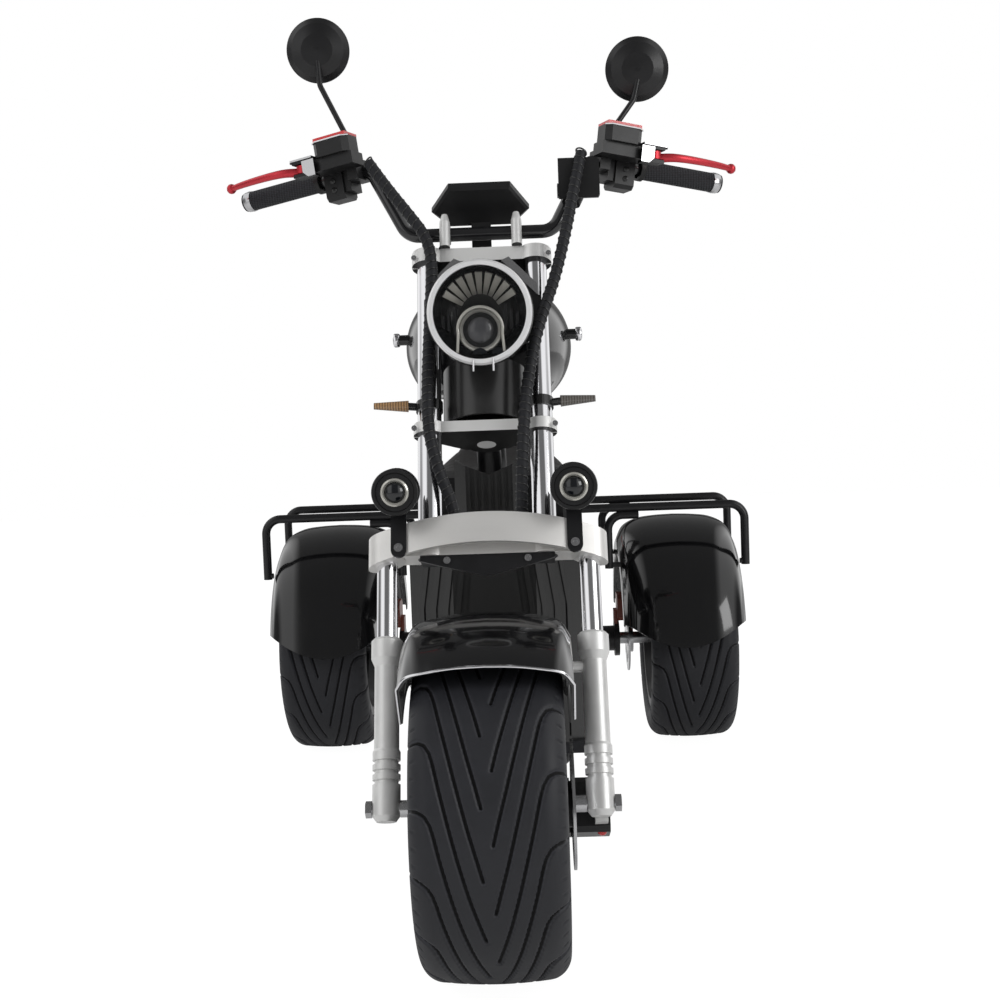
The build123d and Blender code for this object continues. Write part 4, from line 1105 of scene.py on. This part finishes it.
def fender_mesh(centre, half, top, skirt, shoulder, start, end, lip_rise=0.0, steps=64):
    """A thin fender swept round its axle, its angles in degrees forward of the top, and its front rim."""
    line = fender_section(half, top, skirt, shoulder)
    inner = fender_section(half - FENDER_WALL, top - FENDER_WALL, skirt, shoulder)
    loop = line + inner[::-1]
    points, faces = [], []
    for k in range(steps + 1):
        for p in loop:
            late = lip_rise * (p.x / half) ** 2
            first = start + late
            angle = math.radians(first + (end - late - first) * k / steps)
            points.append(centre + Vector((p.x, -p.y * math.sin(angle), p.y * math.cos(angle))) * MM)
    n = len(loop)
    for k in range(steps):
        near, far = k * n, (k + 1) * n
        faces += [(near + j, near + (j + 1) % n, far + (j + 1) % n, far + j) for j in range(n)]
    last = steps * n
    for start_ring in (0, last):
        faces += [(start_ring + j, start_ring + j + 1, start_ring + n - 2 - j, start_ring + n - 1 - j)
                  for j in range(n // 2 - 1)]
    rim = points[last:last + len(line)]
    return mesh_of([(points, faces)]), rim


class TRICYCLE_OT_fenders(bpy.types.Operator):
    """Shape the three fenders, with a chrome bead on the front one's rim as a painted highlight"""

    bl_idname = "tricycle.fenders"
    bl_label = "Fenders"

    def execute(self, context):
        mesh, rim = fender_mesh(place(0, 0, TYRE_R), 116, 273.5, 172, 30, -62, 34)
        front = piece("front_fender_shell", mesh, "body_paint", "steering")
        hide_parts("front_fender")
        # painted highlight: a chrome bead along the front rim, where the gloss paint shows a reflection
        piece("front_fender_bead", mesh_of([tube(rim, 1.9, 8)]), "chrome", "steering")
        for side, name in ((-1, "rear_fender_right"), (1, "rear_fender_left")):
            axle = place(side * REAR_FENDER_X, WHEELBASE, TYRE_R)
            mesh = fender_mesh(axle, 135.5, 293.5, 205, 46, -85.8, 85.8, 12.4)[0]
            shell = piece(name, mesh, "body_paint", "frame")
            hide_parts("rear_fenders")
        return {"FINISHED"}


BAR_UPPER, GRIP_OUTER = Vector((178, 384, 1192)), Vector((392, 468, 1160))


def bar_point(side, x, y, up):
    """A point in millimetres along the grip line, across it and above it, on either side."""
    along = (GRIP_OUTER - BAR_UPPER).normalized()
    across = UPWARD.cross(along).normalized()
    spot = BAR_UPPER + along * x + across * y + along.cross(across) * up
    return place(side * spot.x, spot.y, spot.z)


# Along, across and above the grip line, in millimetres, from the pivot to the lever's tip
LEVER_ROUTE = ((88, -50, 8), (100, -60, 9), (118, -69, 11), (140, -72, 12), (175, -66, 14), (210, -56, 16),
               (238, -46, 17))
LEVER_BULB = ((-8, 0), (-7.2, 4), (-4, 7.4), (0, 8.4), (4, 7.4), (7.2, 4), (8, 0))


class TRICYCLE_OT_bar_details(bpy.types.Operator):
    """Shape the brake levers and finish the bar controls and grips"""

    bl_idname = "tricycle.bar_details"
    bl_label = "Levers and bar controls"

    def execute(self, context):
        levers, caps, lines, perches, rings, knobs, bolts, collars = [], [], [], [], [], [], [], []
        for side in SIDES:
            line = smooth_line([bar_point(side, *p) for p in LEVER_ROUTE], 6)
            taper = [1.5 - 0.55 * k / (len(line) - 1) for k in range(len(line))]
            levers.append(tube(line, 5.2, 14, taper))
            levers.append(turned(LEVER_BULB, line[-1], Vector((side, 0, 0)), 20))
            pivot = bar_point(side, 91, -56, 12)
            levers.append(turned([(-7, 0), (-7, 11), (-6, 12), (6, 12), (7, 11), (7, 0)], pivot, UPWARD, 28))
            bolts += [(bar_point(side, *spot), UPWARD, size)
                      for *spot, size in ((91, -56, 27, 1.0), (14, -31, 49.5, 0.6), (50, -61, 49.5, 0.6))]
            corners = [bar_point(side, x, y, 48) for x, y in ((3, -67), (61, -67), (61, -25), (3, -25))]
            caps.append(slab(corners, UPWARD * 0, UPWARD * 0.0055))
            bends = ((-1, -62), (8, -71), (56, -71), (65, -62), (65, -30))
            lines.append(tube([bar_point(side, x, y, 47) for x, y in bends], 1.3, 8))
            corners = ((66, -72), (106, -72), (112, -62), (106, -42), (66, -42))
            perches.append(slab([bar_point(side, x, y, 25) for x, y in corners], UPWARD * 0, UPWARD * 0.003))
            corners = ((62, 22), (84, 22), (84, 4), (76, -4), (62, -4))
            heel = [bar_point(side, x, -73, above) for x, above in corners]
            perches.append(slab(heel, REARWARD * -0.002, REARWARD * 0.002))
            along = (bar_point(side, 100, 0, 0) - bar_point(side, 0, 0, 0)).normalized()
            end = bar_point(side, (GRIP_OUTER - BAR_UPPER).length, 0, 0)
            ring = ((-6, 15.4), (-6, 17), (-1, 17.2), (6, 16.4), (9, 14), (10.5, 9), (10.8, 0))
            rings.append(turned(ring, end, along, 36))
            collars.append(turned([(-142, 15), (-142, 19), (-134, 19), (-132, 16)], end, along, 36))
            for k in range(3):
                spot = bar_point(side, 60, -22, 6 - 15 * k)
                knobs.append(turned([(-1, 4.5), (2.5, 4.5), (3.4, 3.4), (3.6, 0)], spot, REARWARD * -1, 20))
        levers = piece("lever_blades", mesh_of(levers), "anodised_red", "steering")
        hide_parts("brake_levers")
        piece("reservoir_caps", mesh_of(caps, False), "red_cap", "steering")
        piece("reservoir_edges", mesh_of(lines), "chrome", "steering")
        piece("lever_perches", mesh_of(perches, False), "zinc_plate", "steering")
        piece("grip_ends", mesh_of(rings), "zinc_plate", "steering")
        piece("grip_collars", mesh_of(collars), "moulded_plastic", "steering")
        piece("switch_buttons", mesh_of(knobs), "gloss_plastic", "steering")
        screws("bar_screws", "steering", "brass", bolts, 0.005, 0.003)
        return {"FINISHED"}


class TRICYCLE_OT_fasteners(bpy.types.Operator):
    """Put in the visible screws"""

    bl_idname = "tricycle.fasteners"
    bl_label = "Screws"

    def execute(self, context):
        spots = []
        for side in SIDES:
            spots.append((fork(side * 130, -43.5, 372), FORK_FRONT, 1.1))
            spots.append((fork(side * 60, -22, 357), FORK_FRONT, 0.9))
            spots.append((fork(side * 129, 0, 196), Vector((side, 0, 0)), 0.9))
            spots.append((fork(side * 176.5, 0, 0), Vector((side, 0, 0)), 1.3))
            for s in (571, 868):
                spots.append((fork(side * 108, -24, s), FORK_FRONT, 0.7))
        screws("fork_screws", "steering", "zinc_plate", spots)
        stem = fork(0, 40, 886)
        nut = turned([(0, 22), (9, 22), (11, 20), (11, 15), (19, 15), (21, 13), (21, 0)], stem, FORK_UP, 6)
        collar = turned([(0, 24), (4, 24), (5, 23), (5, 12)], stem, FORK_UP, 40)
        piece("stem_nut", mesh_of([nut, collar]), "zinc_plate", "steering")
        return {"FINISHED"}


CAMERA_SPOT = (0.0749, -2.6763, 0.7904)
CAMERA_YAW, CAMERA_PITCH, CAMERA_ROLL = -0.0259, 0.0639, -0.0363
CAMERA_LENS = 50.4
FLOOR_HALF = 9
# Name, place, aim, size in metres and watts
LIGHTS = (
    ("key", (-2.4, -2.8, 2.9), (0, -0.3, 0.6), 1.4, 56),
    ("fill", (2.8, -2.2, 1.8), (0, -0.3, 0.6), 1.6, 34),
    ("back", (0.5, 3.2, 2.6), (0, 0.2, 0.7), 2.4, 50),
)


class TRICYCLE_OT_stage(bpy.types.Operator):
    """Set the floor, lights, background and camera"""

    bl_idname = "tricycle.stage"
    bl_label = "Studio"

    def execute(self, context):
        scene = context.scene
        scene.view_settings.view_transform = "Standard"
        mesh = bpy.data.meshes.new("floor")
        corners = [(x * FLOOR_HALF, y * FLOOR_HALF, 0) for x, y in ((-1, -1), (1, -1), (1, 1), (-1, 1))]
        mesh.from_pydata(corners, [], [(0, 1, 2, 3)])
        floor = bpy.data.objects.new("floor", mesh)
        scene.collection.objects.link(floor)
        pale = bpy.data.materials.new("floor")
        pale.use_nodes = True
        tree = pale.node_tree
        surface = tree.nodes["Principled BSDF"]
        surface.inputs["Base Color"].default_value = (0.86, 0.86, 0.86, 1)
        surface.inputs["Roughness"].default_value = 0.9
        white = tree.nodes.new("ShaderNodeEmission")
        blend = tree.nodes.new("ShaderNodeMixShader")
        seen = tree.nodes.new("ShaderNodeLightPath")
        level = tree.nodes.new("ShaderNodeMapRange")
        tree.links.new(seen.outputs["Is Camera Ray"], level.inputs["Value"])
        level.inputs["To Min"].default_value, level.inputs["To Max"].default_value = 0.12, 0.84
        tree.links.new(level.outputs[0], blend.inputs[0])
        white.inputs["Strength"].default_value = 1.16
        tree.links.new(surface.outputs[0], blend.inputs[1])
        tree.links.new(white.outputs[0], blend.inputs[2])
        tree.links.new(blend.outputs[0], tree.nodes["Material Output"].inputs["Surface"])
        mesh.materials.append(pale)

        world = bpy.data.worlds.new("studio")
        scene.world = world
        world.use_nodes = True
        tree = world.node_tree
        sky = tree.nodes["Background"]
        sky.inputs["Color"].default_value = (1, 1, 1, 1)
        rays = tree.nodes.new("ShaderNodeLightPath")
        heading = tree.nodes.new("ShaderNodeSeparateXYZ")
        tree.links.new(tree.nodes.new("ShaderNodeTexCoord").outputs["Generated"], heading.inputs[0])
        across = abs(Value(tree, heading.outputs["X"]))
        strips = across.ramp(0.34, 0.5) * (1 - across.ramp(0.84, 0.95))
        backdrop = strips * 0.85 + 0.16
        clear = Value(tree, rays.outputs["Is Camera Ray"]) + Value(tree, rays.outputs["Is Transmission Ray"])
        glossy = Value(tree, rays.outputs["Is Glossy Ray"]) * backdrop
        plain = Value(tree, rays.outputs["Is Diffuse Ray"]) * 0.42
        tree.links.new((clear.math("MINIMUM", clear, 1) + glossy + plain).socket, sky.inputs["Strength"])

        for name, spot, aim, size, power in LIGHTS:
            light = bpy.data.lights.new(name, "AREA")
            light.size, light.energy = size, power
            lamp = bpy.data.objects.new(name, light)
            scene.collection.objects.link(lamp)
            lamp.location = spot
            lamp.visible_glossy = name == "fill"
            lamp.rotation_euler = (Vector(aim) - Vector(spot)).to_track_quat("-Z", "Y").to_euler()

        yaw, pitch, roll = CAMERA_YAW, CAMERA_PITCH, CAMERA_ROLL
        ahead = Vector((math.sin(yaw) * math.cos(pitch), math.cos(yaw) * math.cos(pitch), -math.sin(pitch)))
        right = Vector((math.cos(yaw), -math.sin(yaw), 0))
        up = right.cross(ahead)
        across = math.cos(roll) * right + math.sin(roll) * up
        upright = -math.sin(roll) * right + math.cos(roll) * up
        data = bpy.data.cameras.new("camera")
        data.sensor_width, data.lens = 36, CAMERA_LENS
        camera = bpy.data.objects.new("camera", data)
        scene.collection.objects.link(camera)
        turn = Matrix((across, upright, -ahead)).transposed().to_4x4()
        camera.matrix_world = Matrix.Translation(CAMERA_SPOT) @ turn
        scene.camera = camera
        return {"FINISHED"}


MIRROR_TILT = math.radians(8)
MIRROR_HEADS = ((265, 414, 1343), (-260, 414, 1395))
DISPLAY_WIRE = ((-14, 24, 935), (-36, -6, 925), (-56, -16, 905), (-66, -30, 880))


class TRICYCLE_OT_trim(bpy.types.Operator):
    """Add the bright caps and plates, the mirror glasses and the display's wire"""

    bl_idname = "tricycle.trim"
    bl_label = "Body trim"

    def execute(self, context):
        caps, plates = [], []
        for side in SIDES:
            end = place(side * 162, 512, 918)
            out = Vector((side, 0, 0))
            cap = ((-9, 9.4), (-9, 11), (-7, 12), (-1, 12), (1, 10.5), (2, 6), (2, 0))
            caps.append(turned(cap, end, out, 32))
            outline = [fork(side * x, -24, s) for x, s in ((32, 856), (44, 862), (88, 812), (88, 792))]
            plates.append(slab(outline, FORK_FRONT * 0, FORK_FRONT * 0.004))
        mirrors = []
        face = Vector((0, math.cos(MIRROR_TILT), math.sin(MIRROR_TILT)))
        for x, y, z in MIRROR_HEADS:
            mirrors.append(turned([(0, 48), (0.7, 47.2), (1, 40), (1.2, 0)], place(x, y + 8, z), face, 56))
        piece("mirror_glasses", mesh_of(mirrors), "mirror_glass", "steering")
        low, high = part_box("front_calliper")
        red = []
        for x, level, r in ((0.012, 0.24, 7.5), (0.006, 0.80, 4.5)):
            spot = Vector((high.x - x, low.y + 0.010, low.z + (high.z - low.z) * level))
            red.append(turned([(24, r), (-1, r), (-3, r - 1.5), (-3.5, 0)], spot, REARWARD, 28))
        piece("calliper_caps", mesh_of(red), "red_cap", "steering")
        piece("tank_caps", mesh_of(caps), "chrome", "frame")
        piece("lamp_plates", mesh_of(plates, False), "zinc_plate", "steering")
        wire = smooth_line([fork(*p) for p in DISPLAY_WIRE], 8)
        piece("display_wire", mesh_of([tube(wire, 1.8, 8)]), "soft_rubber", "steering")
        return {"FINISHED"}


STEPS = ("stage", "looms", "finishes", "tyres", "fenders", "bar_details", "headlight", "fog_lamps",
         "fasteners", "trim", "cushions")


class TRICYCLE_PT_panel(bpy.types.Panel):
    """Lists the tricycle's operators"""

    bl_label = "Tricycle"
    bl_space_type = "VIEW_3D"
    bl_region_type = "UI"
    bl_category = "Tricycle"

    def draw(self, context):
        for step in STEPS:
            self.layout.operator("tricycle." + step)


CLASSES = (
    TricycleColours, TricycleSizes, TRICYCLE_OT_stage, TRICYCLE_OT_looms, TRICYCLE_OT_finishes,
    TRICYCLE_OT_tyres, TRICYCLE_OT_fenders, TRICYCLE_OT_bar_details, TRICYCLE_OT_headlight,
    TRICYCLE_OT_fog_lamps, TRICYCLE_OT_fasteners, TRICYCLE_OT_trim, TRICYCLE_OT_cushions, TRICYCLE_PT_panel,
)


def register():
    """Add the classes and the scene's settings."""
    for one in CLASSES:
        bpy.utils.register_class(one)
    bpy.types.Scene.tricycle_colours = bpy.props.PointerProperty(type=TricycleColours)
    bpy.types.Scene.tricycle_sizes = bpy.props.PointerProperty(type=TricycleSizes)


def unregister():
    """Take the settings and the classes away again."""
    del bpy.types.Scene.tricycle_colours
    del bpy.types.Scene.tricycle_sizes
    for one in reversed(CLASSES):
        bpy.utils.unregister_class(one)


def main():
    """Build every piece."""
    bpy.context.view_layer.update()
    register()
    for step in STEPS:
        getattr(bpy.ops.tricycle, step)()


if __name__ == "__main__":
    main()
